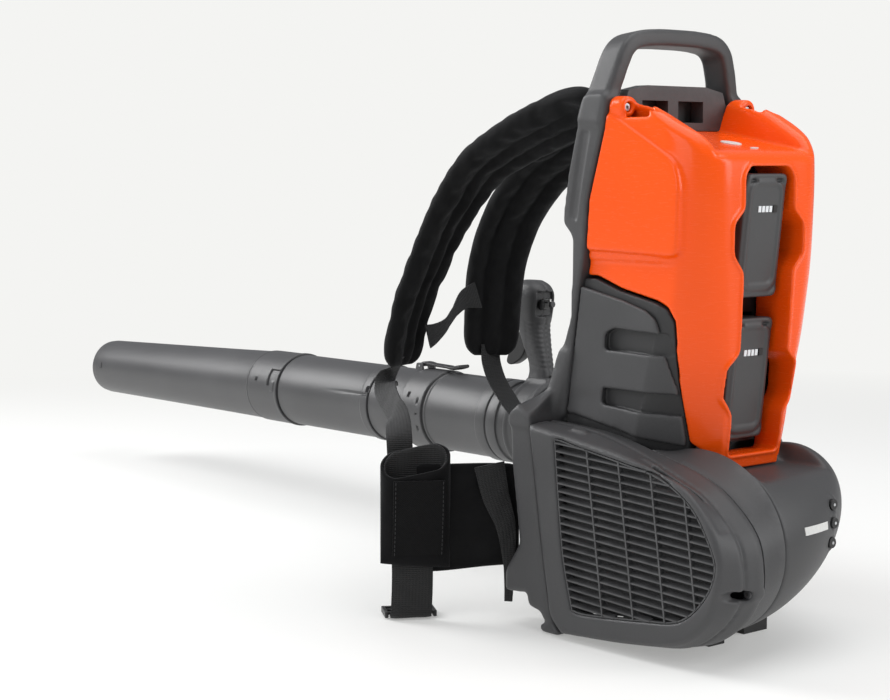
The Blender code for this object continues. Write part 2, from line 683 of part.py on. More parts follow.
# ------------------------------------------------------------ intake on the left, D-shaped
# outlines of (y, z), all starting at the top front and running over the rear
RIDGE = [(0.0700, 0.1968), (0.005, 0.189), (-0.052, 0.1815), (-0.095, 0.171), (-0.124, 0.158),
         (-0.144, 0.136), (-0.160, 0.108), (-0.163, 0.079), (-0.149, 0.046),
         (-0.117, 0.0215), (-0.060, 0.0110), (0.0245, 0.0045), (0.0524, 0.0862)]
RIM = [(0.0700, 0.1988), (0.003, 0.1935), (-0.048, 0.1815), (-0.097, 0.1650),
       (-0.132, 0.1460), (-0.161, 0.116), (-0.1745, 0.084), (-0.1715, 0.062), (-0.151, 0.036),
       (-0.117, 0.0150), (-0.060, 0.0075), (0.0245, 0.0035), (0.0524, 0.0862)]
INNER_EDGE = [(0.0700, 0.1958), (0.003, 0.1905), (-0.048, 0.1795), (-0.102, 0.1660),
              (-0.137, 0.1480), (-0.166, 0.119), (-0.1775, 0.087), (-0.1735, 0.063),
              (-0.156, 0.038), (-0.119, 0.0150), (-0.060, 0.0080), (0.0245, 0.0040),
              (0.0524, 0.0862)]
OPENING = [(0.0350, 0.1855), (0.000, 0.1810), (-0.050, 0.1740), (-0.093, 0.1640),
           (-0.119, 0.1520), (-0.139, 0.1320), (-0.155, 0.106), (-0.158, 0.079),
           (-0.145, 0.050), (-0.117, 0.0300), (-0.060, 0.0255), (0.0050, 0.0270),
           (0.0230, 0.0870)]
# columns of slots in the grille: y range, lowest and highest z a slot may reach
SLOT_COLUMNS = [(-0.150, -0.118, 0.062, 0.128), (-0.1145, -0.076, 0.04, 0.155),
                (-0.0725, -0.034, 0.03, 0.171), (-0.0305, 0.006, 0.03, 0.178)]
SLOT_ROWS = 8
SLOT_FIRST_Z = 0.034
SLOT_PITCH = 0.0175
SLOT_H = 0.0125
SLOT_LEAN = 0.12             # forward shift of a slot per height above z = 0.10


def d_ring(outline, x, shrink=0.0):
    """A D outline at one x, moved in towards its middle."""
    ring = []
    count = len(outline)
    cy = sum(y for y, _ in outline) / count
    cz = sum(z for _, z in outline) / count
    for i, (y, z) in enumerate(outline):
        y0, z0 = outline[i - 1]
        y1, z1 = outline[(i + 1) % count]
        length = math.hypot(y1 - y0, z1 - z0)
        ny, nz = (z1 - z0) / length, -(y1 - y0) / length
        if ny * (cy - y) + nz * (cz - z) < 0:
            ny, nz = -ny, -nz
        ring.append((x, y + ny * shrink, z + nz * shrink))
    return ring


def intake_cover():
    rings = [d_ring(INNER_EDGE, -0.0890), d_ring(RIM, -0.1090), d_ring(RIDGE, -0.1380),
             d_ring(OPENING, -0.1400), d_ring(OPENING, -0.1300),
             d_ring(RIM, -0.1080, 0.0040), d_ring(INNER_EDGE, -0.0890, 0.0035)]
    build("intake_cover", loft(rings, loop=True), DUCT)


def intake_grille():
    plate = loft([d_ring(OPENING, x, 0.0006) for x in (-0.1370, -0.1345)])
    grille = build("intake_grille", plate, FITTING)
    for row in range(SLOT_ROWS):
        z0 = SLOT_FIRST_Z + row * SLOT_PITCH
        z1 = z0 + SLOT_H
        lean = (z0 - 0.10) * SLOT_LEAN
        for y0, y1, z_min, z_max in SLOT_COLUMNS:
            if z0 >= z_min and z1 <= z_max:
                cut(grille, box(-0.15, -0.12, y0 + lean, y1 + lean, z0, z1))


# ------------------------------------------------------------ feet
SKID_OUTLINE = [(-0.022, 0.0), (0.034, 0.0), (0.034, 0.0120), (-0.012, 0.0120), (-0.022, 0.006)]
# rear feet: name, x range, rear y
REAR_FEET = (("foot_rear_left", -0.0555, -0.0345, -0.085),
             ("foot_rear_right", 0.0050, 0.0380, -0.0745))
FOOT_CUT_X = (-0.0900, -0.0600, -0.046, -0.020, 0.010, 0.040, 0.062, 0.078)


def feet():
    build("base_skid", prism_x(SKID_OUTLINE, -0.045, 0.045), DARK_MATT)
    for name, x0, x1, y in REAR_FEET:
        outline = [(y, 0.0), (y + 0.040, 0.0), (y + 0.040, 0.034), (y + 0.008, 0.034), (y, 0.012)]
        foot = build(name, prism_x(outline, x0, x1), DARK_MATT)
        # hollow its top to the fan housing, with a little clearance
        cut(foot, loft([dome_ring(x, -0.0006, saddle=False) for x in FOOT_CUT_X]))


# ------------------------------------------------------------ blow tube line
HOSE_LOW_R, HOSE_HIGH_R, HOSE_BORE = 0.0445, 0.0490, 0.0415
HOSE_RIBS = 3
# hose pieces: name, y range, y of the origin on the tube axis (None: model origin)
HOSES = (("hose_root", 0.1006, 0.1560, None),
         ("hose_mid", 0.1680, 0.2300, HOSE_YAW_Y),
         ("hose_front", 0.2420, 0.2990, HOSE_PITCH_Y))
CONTROL_TUBE_Y = 0.2996      # rear end of the control tube
SPIGOT_R, SPIGOT_BORE = 0.0430, 0.0405   # tube end that enters the next piece


def tube_piece(name, profile, origin_y):
    build(name, turned(profile, "Y", TUBE_CENTRE, TUBE_SIDES), DUCT,
          (TUBE_X, origin_y, TUBE_Z))


def hoses():
    for name, y0, y1, origin_y in HOSES:
        profile = []
        for k in range(HOSE_RIBS):
            a = y0 + (y1 - y0) * k / HOSE_RIBS
            b = y0 + (y1 - y0) * (k + 1) / HOSE_RIBS
            profile += [(a, HOSE_LOW_R), (a * 0.72 + b * 0.28, HOSE_HIGH_R),
                        (a * 0.28 + b * 0.72, HOSE_HIGH_R)]
        profile += [(y1, HOSE_LOW_R), (y1, HOSE_BORE), (y0, HOSE_BORE)]
        origin = None if origin_y is None else (TUBE_X, origin_y, TUBE_Z)
        build(name, turned(profile, "Y", TUBE_CENTRE, HOSE_SIDES), DARK_MATT, origin)


def spigot(join_y, gap, length):
    """Front end of a tube: shoulder short of the joint, then the spigot and its bore."""
    return [(join_y - gap, TUBE_R), (join_y - gap, SPIGOT_R), (join_y + length, SPIGOT_R),
            (join_y + length, SPIGOT_BORE), (join_y - 0.010, SPIGOT_BORE),
            (join_y - 0.015, TUBE_BORE)]


def control_tube():
    profile = [(CONTROL_TUBE_Y, TUBE_R)]
    # two raised bands, then a wider collar
    for y in (0.3725, 0.3905):
        band_r = TUBE_R + 0.0022
        profile += [(y, TUBE_R), (y + 0.001, band_r), (y + 0.0150, band_r), (y + 0.0160, TUBE_R)]
    collar_r = TUBE_R + 0.0030
    profile += [(0.5020, TUBE_R), (0.5025, collar_r), (0.5440, collar_r), (0.5445, TUBE_R)]
    profile += spigot(TUBE_JOIN_Y, gap=0.0005, length=0.028)
    profile.append((CONTROL_TUBE_Y, TUBE_BORE))
    tube_piece("control_tube", profile, HOSE_PITCH_Y)


def front_tube():
    rear_y = TUBE_JOIN_Y + 0.0003
    collar_r = TUBE_R + 0.0015
    profile = [(rear_y, collar_r), (0.6220, collar_r), (0.6240, TUBE_R)]
    profile += spigot(NOZZLE_JOIN_Y, gap=0.0008, length=0.025)
    profile.append((rear_y, TUBE_BORE))
    tube_piece("front_tube", profile, TUBE_JOIN_Y)


def nozzle():
    profile = [(NOZZLE_JOIN_Y, TUBE_R + 0.0015), (0.8650, TUBE_R + 0.0010),
               (NOZZLE_TAPER_Y, TUBE_R - 0.001), (NOZZLE_TIP_Y - 0.0060, NOZZLE_TIP_R + 0.0005),
               (NOZZLE_TIP_Y, NOZZLE_TIP_R - 0.0012), (NOZZLE_TIP_Y, NOZZLE_TIP_R - 0.0025),
               (0.8850, TUBE_BORE - 0.002), (0.8650, TUBE_BORE), (NOZZLE_JOIN_Y, TUBE_BORE)]
    verts, faces = turned(profile, "Y", TUBE_CENTRE, TUBE_SIDES)
    length = NOZZLE_TIP_Y - NOZZLE_TAPER_Y
    verts = [(x, y, z - NOZZLE_DROOP * max(0.0, (y - NOZZLE_TAPER_Y) / length))
             for x, y, z in verts]
    build("nozzle", (verts, faces), DUCT, (TUBE_X, NOZZLE_JOIN_Y, TUBE_Z))


def tube_lock_lever():
    """Flat bar on top of the control tube's collar."""
    bar = box(TUBE_X - 0.0065, TUBE_X + 0.0065, 0.4800, 0.5550, 0.1925 + GAP, 0.1968 + GAP)
    build("tube_lock_lever", bar, FITTING, (TUBE_X, 0.5500, 0.1950))


# ------------------------------------------------------------ control handle
# z, centre y, half depth in y, half width in x
GRIP_STATIONS = [
    (0.1986, 0.3450, 0.0150, 0.0130), (0.2150, 0.3470, 0.0150, 0.0130),
    (0.2350, 0.3530, 0.0165, 0.0145), (0.2550, 0.3580, 0.0190, 0.0165),
    (0.2750, 0.3605, 0.0245, 0.0190), (0.2920, 0.3605, 0.0255, 0.0195),
    (0.3020, 0.3620, 0.0215, 0.0170), (0.3080, 0.3640, 0.0120, 0.0100),
]
GRIP_SIDES = 14
GRIP_POWER = 0.75            # below 1 squares up the grip's oval section
TRIGGER_OUTLINE = [(0.3625, 0.2530), (0.3730, 0.2540), (0.3815, 0.2400), (0.3940, 0.2230),
                   (0.3980, 0.2120), (0.3840, 0.2105), (0.3680, 0.2200), (0.3625, 0.2380)]
SWITCH_Y, SWITCH_Z = 0.3380, 0.2810


def handle_clamp():
    bore = TUBE_R + GAP
    profile = [(0.3170, bore), (0.3190, 0.0515), (0.3550, 0.0515), (0.3570, bore)]
    clamp = build("handle_clamp", turned(profile, "Y", TUBE_CENTRE, TUBE_SIDES), CASING)
    # seat for the grip
    join(clamp, box(TUBE_X - 0.014, TUBE_X + 0.014, 0.3220, 0.3540, 0.1915, 0.1980))


def grip():
    def squared(value):
        return math.copysign(abs(value) ** GRIP_POWER, value)

    rings = [[(TUBE_X + half_x * squared(c), yc + half_y * squared(s), z)
              for c, s in unit_circle(GRIP_SIDES, 0.5)]
             for z, yc, half_y, half_x in GRIP_STATIONS]
    handle = build("grip", loft(rings), CASING)
    # trigger slot in front, switch recess behind
    cut(handle, box(TUBE_X - 0.0075, TUBE_X + 0.0075, 0.3600, 0.3980, 0.2080, 0.2560))
    cut(handle, box(TUBE_X - 0.0100, TUBE_X + 0.0100, 0.3280, 0.3455, 0.2700, 0.2925))


def controls():
    build("trigger", prism_x(TRIGGER_OUTLINE, TUBE_X - 0.0066, TUBE_X + 0.0066), FITTING,
          (TUBE_X, 0.3670, 0.2490))
    knob = rod("X", (0, SWITCH_Y, SWITCH_Z), 0.0062, TUBE_X - 0.0090, TUBE_X - 0.0012, 12)
    lever = build("cruise_lever", knob, DARK_SMOOTH, (TUBE_X, SWITCH_Y, SWITCH_Z))
    join(lever, box(TUBE_X - 0.0085, TUBE_X - 0.0017, 0.3240, 0.3360, 0.2850, 0.2880))
    build("power_button", rod("Y", (TUBE_X + 0.0050, 0, SWITCH_Z), 0.0036, 0.3320, 0.3405, 12),
          DARK_SMOOTH)


CABLE_R = 0.0035
CABLE_Z = 0.1985             # height of the cable where it runs above the hose
CABLES = {
    "control_cable": [(0.083, 0.088, 0.178), (0.0920, 0.100, 0.1890), (0.1150, 0.118, 0.1960),
                      (0.1330, 0.1350, CABLE_Z), (TUBE_X, 0.1560, CABLE_Z)],
    "control_cable_front": [(TUBE_X, y, CABLE_Z) for y in (0.2420, 0.2750, 0.3010)],
}


def control_cables():
    """From the frame along the root hose, and again along the front hose."""
    section = [(CABLE_R * c, CABLE_R * s) for c, s in unit_circle(6)]
    for name, path in CABLES.items():
        build(name, sweep(path, section, across=(0, 0, 1)), DARK_MATT)


# ------------------------------------------------------------ harness (soft parts, plain solids)
LUMBAR_OUTLINE = [(0.0850, 0.110), (0.0960, 0.196), (0.1140, 0.196), (0.1120, 0.060),
                  (0.1030, 0.0560), (0.0850, 0.084)]
BUCKLE_OUTLINE = [(-0.2080, 0.1610), (-0.1760, 0.1370), (-0.1670, 0.1490), (-0.1990, 0.1730)]
# straps: name, width, thickness, direction of the width, path of (x, y, z)
STRAPS = [
    ("shoulder_strap_left", 0.058, 0.018, (0.97, 0.24, 0),
     [(-0.0560, 0.0530, 0.4900), (-0.0565, 0.1180, 0.4780), (-0.0575, 0.1850, 0.4500),
      (-0.0590, 0.2330, 0.4150), (-0.0600, 0.2640, 0.3750), (-0.0610, 0.2930, 0.3300),
      (-0.0620, 0.3170, 0.2850), (-0.0625, 0.3300, 0.2420)]),
    ("shoulder_strap_right", 0.058, 0.018, (1, 0, 0),
     [(0.0560, 0.0530, 0.4900), (0.0575, 0.1100, 0.4800), (0.0600, 0.1650, 0.4600),
      (0.0620, 0.2200, 0.4300), (0.0640, 0.2680, 0.3950), (0.0650, 0.3050, 0.3550),
      (0.0650, 0.3250, 0.3150), (0.0650, 0.3320, 0.2800), (0.0650, 0.3340, 0.2420)]),
    ("strap_webbing_left", 0.026, 0.0025, (0.3, 0.4, 0.5),
     [(-0.0640, 0.3310, 0.2250), (-0.0950, 0.2900, 0.2120), (-0.1450, 0.2350, 0.1850),
      (-0.1900, 0.1960, 0.1680)]),
    ("strap_webbing_right", 0.026, 0.0025, (1, 0, 0),
     [(0.0650, 0.3325, 0.2315), (0.0640, 0.3080, 0.2000), (0.0640, 0.2750, 0.1600),
      (0.0640, 0.2500, 0.1150)]),
    ("chest_strap", 0.020, 0.0030, (0, 0, 1),
     [(-0.0270, 0.3260, 0.2620), (-0.0150, 0.3270, 0.2650), (0.0130, 0.3280, 0.2780),
      (0.0300, 0.3290, 0.2870)]),
    ("hip_wing_left", 0.106, 0.016, (0, 0, 1),
     [(-0.1010, 0.1240, 0.105), (-0.1300, 0.1380, 0.105), (-0.1700, 0.1600, 0.105),
      (-0.2120, 0.1900, 0.105)]),
    ("hip_wing_right", 0.072, 0.014, (0, 0, 1),
     [(0.0640, 0.1160, 0.072), (0.0720, 0.1500, 0.072), (0.0740, 0.2000, 0.072),
      (0.0680, 0.2450, 0.072)]),
    ("hip_webbing_left", 0.040, 0.0030, (0.8, -0.6, 0),
     [(-0.2070, 0.1870, 0.0510), (-0.2090, 0.1860, 0.0250), (-0.2110, 0.1850, 0.0045)]),
    ("hip_webbing_right", 0.038, 0.0030, (0, 1, 0),
     [(0.0700, 0.2300, 0.0345), (0.0700, 0.2300, 0.0200), (0.0700, 0.2300, 0.0050)]),
]


def harness():
    build("back_pad", box(-0.078, 0.078, 0.0606, 0.0756, 0.292, 0.368), FABRIC)
    build("lumbar_pad", prism_x(LUMBAR_OUTLINE, -0.100, 0.060), FABRIC)
    for name, width, thick, across, path in STRAPS:
        u, v = width / 2, thick / 2
        section = [(-u, -v), (u, -v), (u, v), (-u, v)]
        build(name, sweep(path, section, across), FABRIC)
    build("hip_buckle_left", prism_z(BUCKLE_OUTLINE, 0.0008, 0.0068), DARK_SMOOTH)


# ------------------------------------------------------------ the whole machine
for make_part in (
    back_frame, vent_panel, battery_cover, cover_screws, side_covers,
    battery_bay, terminal_blocks, controller_board, batteries,
    fan_housing_outer, fan_housing_inner, impeller, motor, motor_mount,
    intake_cover, intake_grille, feet,
    hoses, control_tube, front_tube, nozzle, tube_lock_lever,
    handle_clamp, grip, controls, control_cables, harness,
):
    make_part()
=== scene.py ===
"""Looks of a backpack leaf blower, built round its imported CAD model.

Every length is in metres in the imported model's frame: +X the wearer's right,
+Y forward along the blow tube, +Z up, floor at z = 0. The pack stands on the
floor, the batteries face the rear (-Y) and the harness the front (+Y). The
round intake is on the left and the blow tube runs forward on the right.

Solids are described as distance fields on a grid (class Field), negative
inside, or as lofted, turned and swept meshes.
"""
import json
import math
from functools import reduce
from itertools import product

import bmesh
import bpy
import numpy as np
import openvdb
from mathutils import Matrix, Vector, noise
from mathutils.geometry import tessellate_polygon

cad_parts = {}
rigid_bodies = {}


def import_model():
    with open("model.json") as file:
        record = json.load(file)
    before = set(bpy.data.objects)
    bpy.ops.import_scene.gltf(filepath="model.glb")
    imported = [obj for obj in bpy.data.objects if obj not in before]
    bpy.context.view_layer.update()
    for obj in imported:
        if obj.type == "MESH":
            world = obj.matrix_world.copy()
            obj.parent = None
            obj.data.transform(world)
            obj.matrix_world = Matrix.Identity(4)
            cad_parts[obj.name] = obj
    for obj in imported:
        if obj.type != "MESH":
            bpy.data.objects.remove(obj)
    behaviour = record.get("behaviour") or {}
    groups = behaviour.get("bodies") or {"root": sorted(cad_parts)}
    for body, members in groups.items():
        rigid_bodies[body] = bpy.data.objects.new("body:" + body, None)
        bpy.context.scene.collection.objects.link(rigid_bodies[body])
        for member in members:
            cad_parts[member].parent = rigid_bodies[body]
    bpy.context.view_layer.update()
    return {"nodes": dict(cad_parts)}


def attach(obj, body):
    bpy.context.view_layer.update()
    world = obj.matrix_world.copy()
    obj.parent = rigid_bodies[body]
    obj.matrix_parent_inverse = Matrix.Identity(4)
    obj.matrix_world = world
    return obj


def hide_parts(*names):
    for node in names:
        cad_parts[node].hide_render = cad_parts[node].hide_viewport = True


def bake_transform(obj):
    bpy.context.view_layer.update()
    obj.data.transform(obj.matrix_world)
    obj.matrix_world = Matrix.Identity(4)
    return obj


for old in list(bpy.data.objects):
    bpy.data.objects.remove(old, do_unlink=True)
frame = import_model()
SCENE = bpy.context.scene

TUBE_X, TUBE_Z = 0.140, 0.143    # blow tube axis, parallel to Y
TUBE_R = 0.046
TUBE_INNER_R = TUBE_R - 0.0028
FAN_Y, FAN_Z = -0.078, 0.098     # fan axis, parallel to X


# ============================================================ materials
class Shader:
    """A new material and short calls that add nodes to its tree."""

    def __init__(self, name):
        self.material = bpy.data.materials.new(name)
        self.material.use_nodes = True
        self.tree = self.material.node_tree
        self.principled = self.tree.nodes["Principled BSDF"]
        # the same for every piece, because all have their origin at the frame's
        self.position = self.node("ShaderNodeTexCoord").outputs["Object"]

    def feed(self, socket, value):
        """Links a socket into another, or sets it to a value."""
        if isinstance(value, bpy.types.NodeSocket):
            self.tree.links.new(value, socket)
        else:
            socket.default_value = (*value, 1) if socket.type == "RGBA" else value

    def node(self, kind, **inputs):
        """A node; underscores in input names stand for spaces."""
        node = self.tree.nodes.new(kind)
        for name, value in inputs.items():
            self.feed(node.inputs[name.replace("_", " ")], value)
        return node

    def noise(self, scale, detail=2.0, rough=0.5, vector=None):
        vector = vector or self.position
        return self.node("ShaderNodeTexNoise", Scale=scale, Detail=detail, Roughness=rough,
                         Vector=vector).outputs["Fac"]

    def ramp(self, fac, *stops):
        """Grey ramp between two stops of (position, grey)."""
        ramp = self.node("ShaderNodeValToRGB", Fac=fac)
        for element, (position, grey) in zip(ramp.color_ramp.elements, stops):
            element.position = position
            element.color = (grey, grey, grey, 1)
        return ramp.outputs["Color"]

    def mix(self, fac, first, second, blend="MIX"):
        node = self.node("ShaderNodeMix")
        node.data_type = "RGBA"
        node.blend_type = blend
        for index, value in ((0, fac), (6, first), (7, second)):
            self.feed(node.inputs[index], value)
        return node.outputs[2]

    def multiply(self, first, second):
        return self.mix(1.0, first, second, "MULTIPLY")

    def calc(self, operation, *values):
        node = self.node("ShaderNodeMath")
        node.operation = operation
        for socket, value in zip(node.inputs, values):
            self.feed(socket, value)
        return node.outputs[0]

    def scaled(self, value, factor, offset):
        return self.calc("MULTIPLY_ADD", value, factor, offset)

    def sine(self, distance, pitch):
        return self.calc("SINE", self.calc("MULTIPLY", distance, 2 * math.pi / pitch))

    def pointiness(self):
        return self.node("ShaderNodeNewGeometry").outputs["Pointiness"]

    def split(self, vector):
        return self.node("ShaderNodeSeparateXYZ", Vector=vector).outputs

    def lay(self):
        """(along, across) of a strap in metres, from the attribute its mesh carries."""
        attribute = self.node("ShaderNodeAttribute")
        attribute.attribute_name = "lay"
        return self.split(attribute.outputs["Vector"])[:2]

    def bump(self, height, strength, distance, **below):
        return self.node("ShaderNodeBump", Strength=strength, Distance=distance,
                         Height=height, **below).outputs["Normal"]

    def finish(self, **inputs):
        """Sets the principled shader's inputs and gives the material."""
        for name, value in inputs.items():
            self.feed(self.principled.inputs[name.replace("_", " ")], value)
        return self.material


def moulded(name, colour, rough, grain=0.35, edge=0.5, specular=0.5, grain_scale=1900.0):
    """Moulded plastic: fine grain, faint variation of tone, paler rubbed edges."""
    shader = Shader(name)
    flow = shader.noise(scale=9.0, detail=3.0)
    fine = shader.noise(scale=grain_scale, rough=0.6)
    speck = shader.noise(scale=420.0)
    base = shader.multiply(colour, shader.ramp(flow, (0.35, 0.90), (0.65, 1.08)))
    base = shader.multiply(base, shader.ramp(speck, (0.3, 0.96), (0.7, 1.04)))
    worn = shader.ramp(shader.pointiness(), (0.52, 0.0), (0.60, 1.0))
    patches = shader.noise(scale=60.0, detail=4.0, rough=0.65)
    patches = shader.ramp(patches, (0.42, 0.15), (0.68, 1.0))
    worn = shader.calc("MULTIPLY", worn, patches)
    worn = shader.calc("MULTIPLY", worn, edge)
    pale = tuple(min(1.0, c * 1.5 + 0.03) for c in colour)
    base = shader.mix(worn, base, pale)
    # roughness swings 0.12 with the flow and 0.06 with the specks, about its mean
    gloss = shader.scaled(flow, 0.12, rough - 0.06)
    gloss = shader.scaled(speck, 0.06, shader.calc("SUBTRACT", gloss, 0.03))
    return shader.finish(Base_Color=base, Roughness=gloss,
                         Normal=shader.bump(fine, strength=grain, distance=0.00025),
                         Coat_Roughness=0.08, Specular_IOR_Level=specular)


def glossy_shell(name, colour, rubbed_edge_and_highlight_colour):
    """Polished coloured plastic: slight orange peel, fine scuffs, paler edges that are partly
    rubbed wear and partly a painted highlight.
    """
    shader = Shader(name)
    flow = shader.noise(scale=7.0, detail=3.0)
    base = shader.multiply(colour, shader.ramp(flow, (0.3, 0.95), (0.7, 1.04)))
    squeezed = shader.node("ShaderNodeMapping", Scale=(1.0, 1.0, 7.0),
                           Rotation=(0.5, 0.2, 0.3), Vector=shader.position).outputs[0]
    scuff = shader.noise(scale=90.0, detail=6.0, rough=0.7, vector=squeezed)
    scuff = shader.ramp(scuff, (0.55, 0.0), (0.78, 1.0))
    # pale edges by pointiness: partly rubbed wear, partly a painted highlight along the crisp
    # edges
    worn = shader.ramp(shader.pointiness(), (0.53, 0.0), (0.62, 1.0))
    worn = shader.calc("MULTIPLY", worn, 0.22)
    base = shader.mix(worn, base, rubbed_edge_and_highlight_colour)
    gloss = shader.scaled(scuff, 0.12, 0.26)
    peel = shader.noise(scale=260.0)
    return shader.finish(Base_Color=base, Roughness=gloss,
                         Normal=shader.bump(peel, strength=0.035, distance=0.0003),
                         Coat_Weight=0.10, Coat_Roughness=0.10, Specular_IOR_Level=0.28)


def woven(name, colour, sheen, pitch=0.0011, depth=0.5):
    """Plain-weave fabric: crossing threads as bump and colour, lint, soft sheen."""
    shader = Shader(name)
    along, across = shader.lay()
    weave = shader.calc("MULTIPLY", shader.sine(along, pitch), shader.sine(across, pitch))
    weave = shader.scaled(weave, 0.5, 0.5)
    creases = shader.noise(scale=28.0, detail=4.0, rough=0.6)
    lint = shader.noise(scale=900.0, detail=3.0, rough=0.7)
    base = shader.multiply(colour, shader.ramp(creases, (0.3, 0.75), (0.7, 1.35)))
    base = shader.multiply(base, shader.ramp(weave, (0.0, 0.62), (1.0, 1.28)))
    fluff = shader.ramp(lint, (0.60, 0.0), (0.80, 1.0))
    fluff_colour = tuple(c * 3 + 0.02 for c in colour)
    base = shader.mix(shader.calc("MULTIPLY", fluff, 0.20), base, fluff_colour)
    rough = shader.scaled(lint, 0.15, 0.78)
    normal = shader.bump(creases, strength=0.35, distance=0.0016)
    normal = shader.bump(lint, strength=0.25, distance=0.0004, Normal=normal)
    normal = shader.bump(weave, strength=depth, distance=0.0003, Normal=normal)
    return shader.finish(Base_Color=base, Roughness=rough, Normal=normal,
                         Sheen_Weight=sheen, Sheen_Roughness=0.45,
                         Sheen_Tint=(0.55, 0.55, 0.57), Specular_IOR_Level=0.16)


def ribbed(name, colour, rib_pitch=0.0019, zigzag_pitch=0.0032):
    """Webbing: ribs across the band and zigzag threads along it."""
    shader = Shader(name)
    along, across = shader.lay()
    rib = shader.scaled(shader.sine(along, rib_pitch), 0.5, 0.5)
    zigzag = shader.calc("ABSOLUTE", shader.sine(across, 2 * zigzag_pitch))
    cord = shader.scaled(zigzag, 0.35, shader.calc("MULTIPLY", rib, 0.65))
    lint = shader.noise(scale=1100.0, detail=3.0, rough=0.7)
    broad = shader.noise(scale=40.0, detail=3.0)
    base = shader.multiply(colour, shader.ramp(cord, (0.0, 0.45), (1.0, 1.45)))
    base = shader.multiply(base, shader.ramp(broad, (0.3, 0.85), (0.7, 1.2)))
    rough = shader.scaled(lint, 0.2, 0.62)
    normal = shader.bump(cord, strength=0.9, distance=0.0006)
    normal = shader.bump(lint, strength=0.2, distance=0.0003, Normal=normal)
    return shader.finish(Base_Color=base, Roughness=rough, Normal=normal, Sheen_Weight=0.14,
                         Sheen_Roughness=0.4, Sheen_Tint=(0.6, 0.6, 0.62))


def metal(name, colour, rough):
    """Brushed metal, its streaks fine along Z."""
    shader = Shader(name)
    stretched = shader.node("ShaderNodeMapping", Scale=(1.0, 1.0, 30.0),
                            Vector=shader.position).outputs[0]
    streak = shader.noise(scale=300.0, detail=4.0, rough=0.6, vector=stretched)
    broad = shader.noise(scale=60.0, detail=3.0)
    base = shader.multiply(colour, shader.ramp(broad, (0.3, 0.8), (0.7, 1.1)))
    return shader.finish(Base_Color=base, Roughness=shader.scaled(streak, 0.25, rough - 0.1),
                         Normal=shader.bump(streak, strength=0.15, distance=0.0002),
                         Metallic=1.0)


def windings(name, pitch=0.0012):
    """Copper wire wound in turns along X."""
    shader = Shader(name)
    x = shader.split(shader.position)[0]
    turns = shader.scaled(shader.sine(x, pitch), 0.5, 0.5)
    return shader.finish(Base_Color=shader.mix(turns, (0.22, 0.07, 0.02), (0.72, 0.32, 0.12)),
                         Normal=shader.bump(turns, strength=0.8, distance=0.0005),
                         Metallic=0.85, Roughness=0.32)


def circuit_board(name):
    """Green board with a brick pattern and brassy specks."""
    shader = Shader(name)
    brick = shader.node("ShaderNodeTexBrick", Scale=90.0, Mortar_Size=0.03,
                        Vector=shader.position)
    base = shader.mix(brick.outputs["Fac"], (0.015, 0.12, 0.05), (0.10, 0.34, 0.13))
    specks = shader.ramp(shader.noise(scale=240.0), (0.60, 0.0), (0.64, 1.0))
    return shader.finish(Base_Color=shader.mix(specks, base, (0.55, 0.45, 0.18)),
                         Roughness=0.35)


def glow(name, colour, strength):
    shader = Shader(name)
    return shader.finish(Base_Color=colour, Emission_Color=colour, Emission_Strength=strength,
                         Roughness=shader.scaled(shader.noise(scale=500.0), 0.1, 0.3))


FINISH = {
    "dark": ("dark_plastic", moulded(
        "dark_plastic", (0.054, 0.054, 0.056), rough=0.46, specular=0.42)),
    "tube": ("tube_plastic", moulded(
        "tube_plastic", (0.060, 0.060, 0.062), rough=0.40, grain=0.16)),
    # painted shade: a darker plastic for the side covers' recessed rim, standing in for the
    # shade that falls in that recess
    "recessed_rim_shade": ("dark_plastic", moulded(
        "recessed_rim_shade_plastic", (0.020, 0.020, 0.021), rough=0.50, edge=0.3)),
    "black": ("black_plastic", moulded(
        "black_plastic", (0.0115, 0.0115, 0.012), rough=0.42, grain=0.25, edge=0.3)),
    "cell": ("dark_plastic", moulded(
        "battery_plastic", (0.052, 0.053, 0.055), rough=0.45, grain=0.25)),
    # the orange's pale edge colour is partly wear and partly a painted highlight
    "orange": ("orange_plastic", glossy_shell(
        "orange_plastic", (0.98, 0.095, 0.0030), rubbed_edge_and_highlight_colour=(1.0, 0.30, 0.09))),
    "rubber": ("rubber", moulded(
        "rubber", (0.014, 0.014, 0.014), rough=0.66, grain=0.5, edge=0.3, grain_scale=900.0)),
    "hose": ("hose_rubber", moulded(
        "hose_rubber", (0.034, 0.034, 0.035), rough=0.42, grain=0.25, edge=0.3)),
    "fabric": ("harness_fabric", woven(
        "harness_fabric", (0.0050, 0.0050, 0.0054), sheen=0.14)),
    "velcro": ("harness_fabric", woven(
        "hook_fabric", (0.0052, 0.0052, 0.0055), sheen=0.10, pitch=0.0022, depth=0.9)),
    "webbing": ("webbing", ribbed("webbing", (0.0080, 0.0080, 0.0083))),
    "thread": ("webbing", moulded(
        "thread", (0.020, 0.020, 0.021), rough=0.7, grain=0.5, edge=0.0)),
    "steel": ("steel", metal("steel", (0.56, 0.57, 0.58), rough=0.32)),
    "alu": ("aluminium", metal("aluminium", (0.70, 0.70, 0.72), rough=0.38)),
    "copper": ("copper_winding", windings("copper_winding")),
    "board": ("circuit_board", circuit_board("circuit_board")),
    "label": ("dark_plastic", moulded(
        "blank_label", (0.72, 0.72, 0.70), rough=0.40, grain=0.1, edge=0.0)),
    "led": ("dark_plastic", glow("led_bar", (0.74, 0.76, 0.78), strength=0.12)),
}


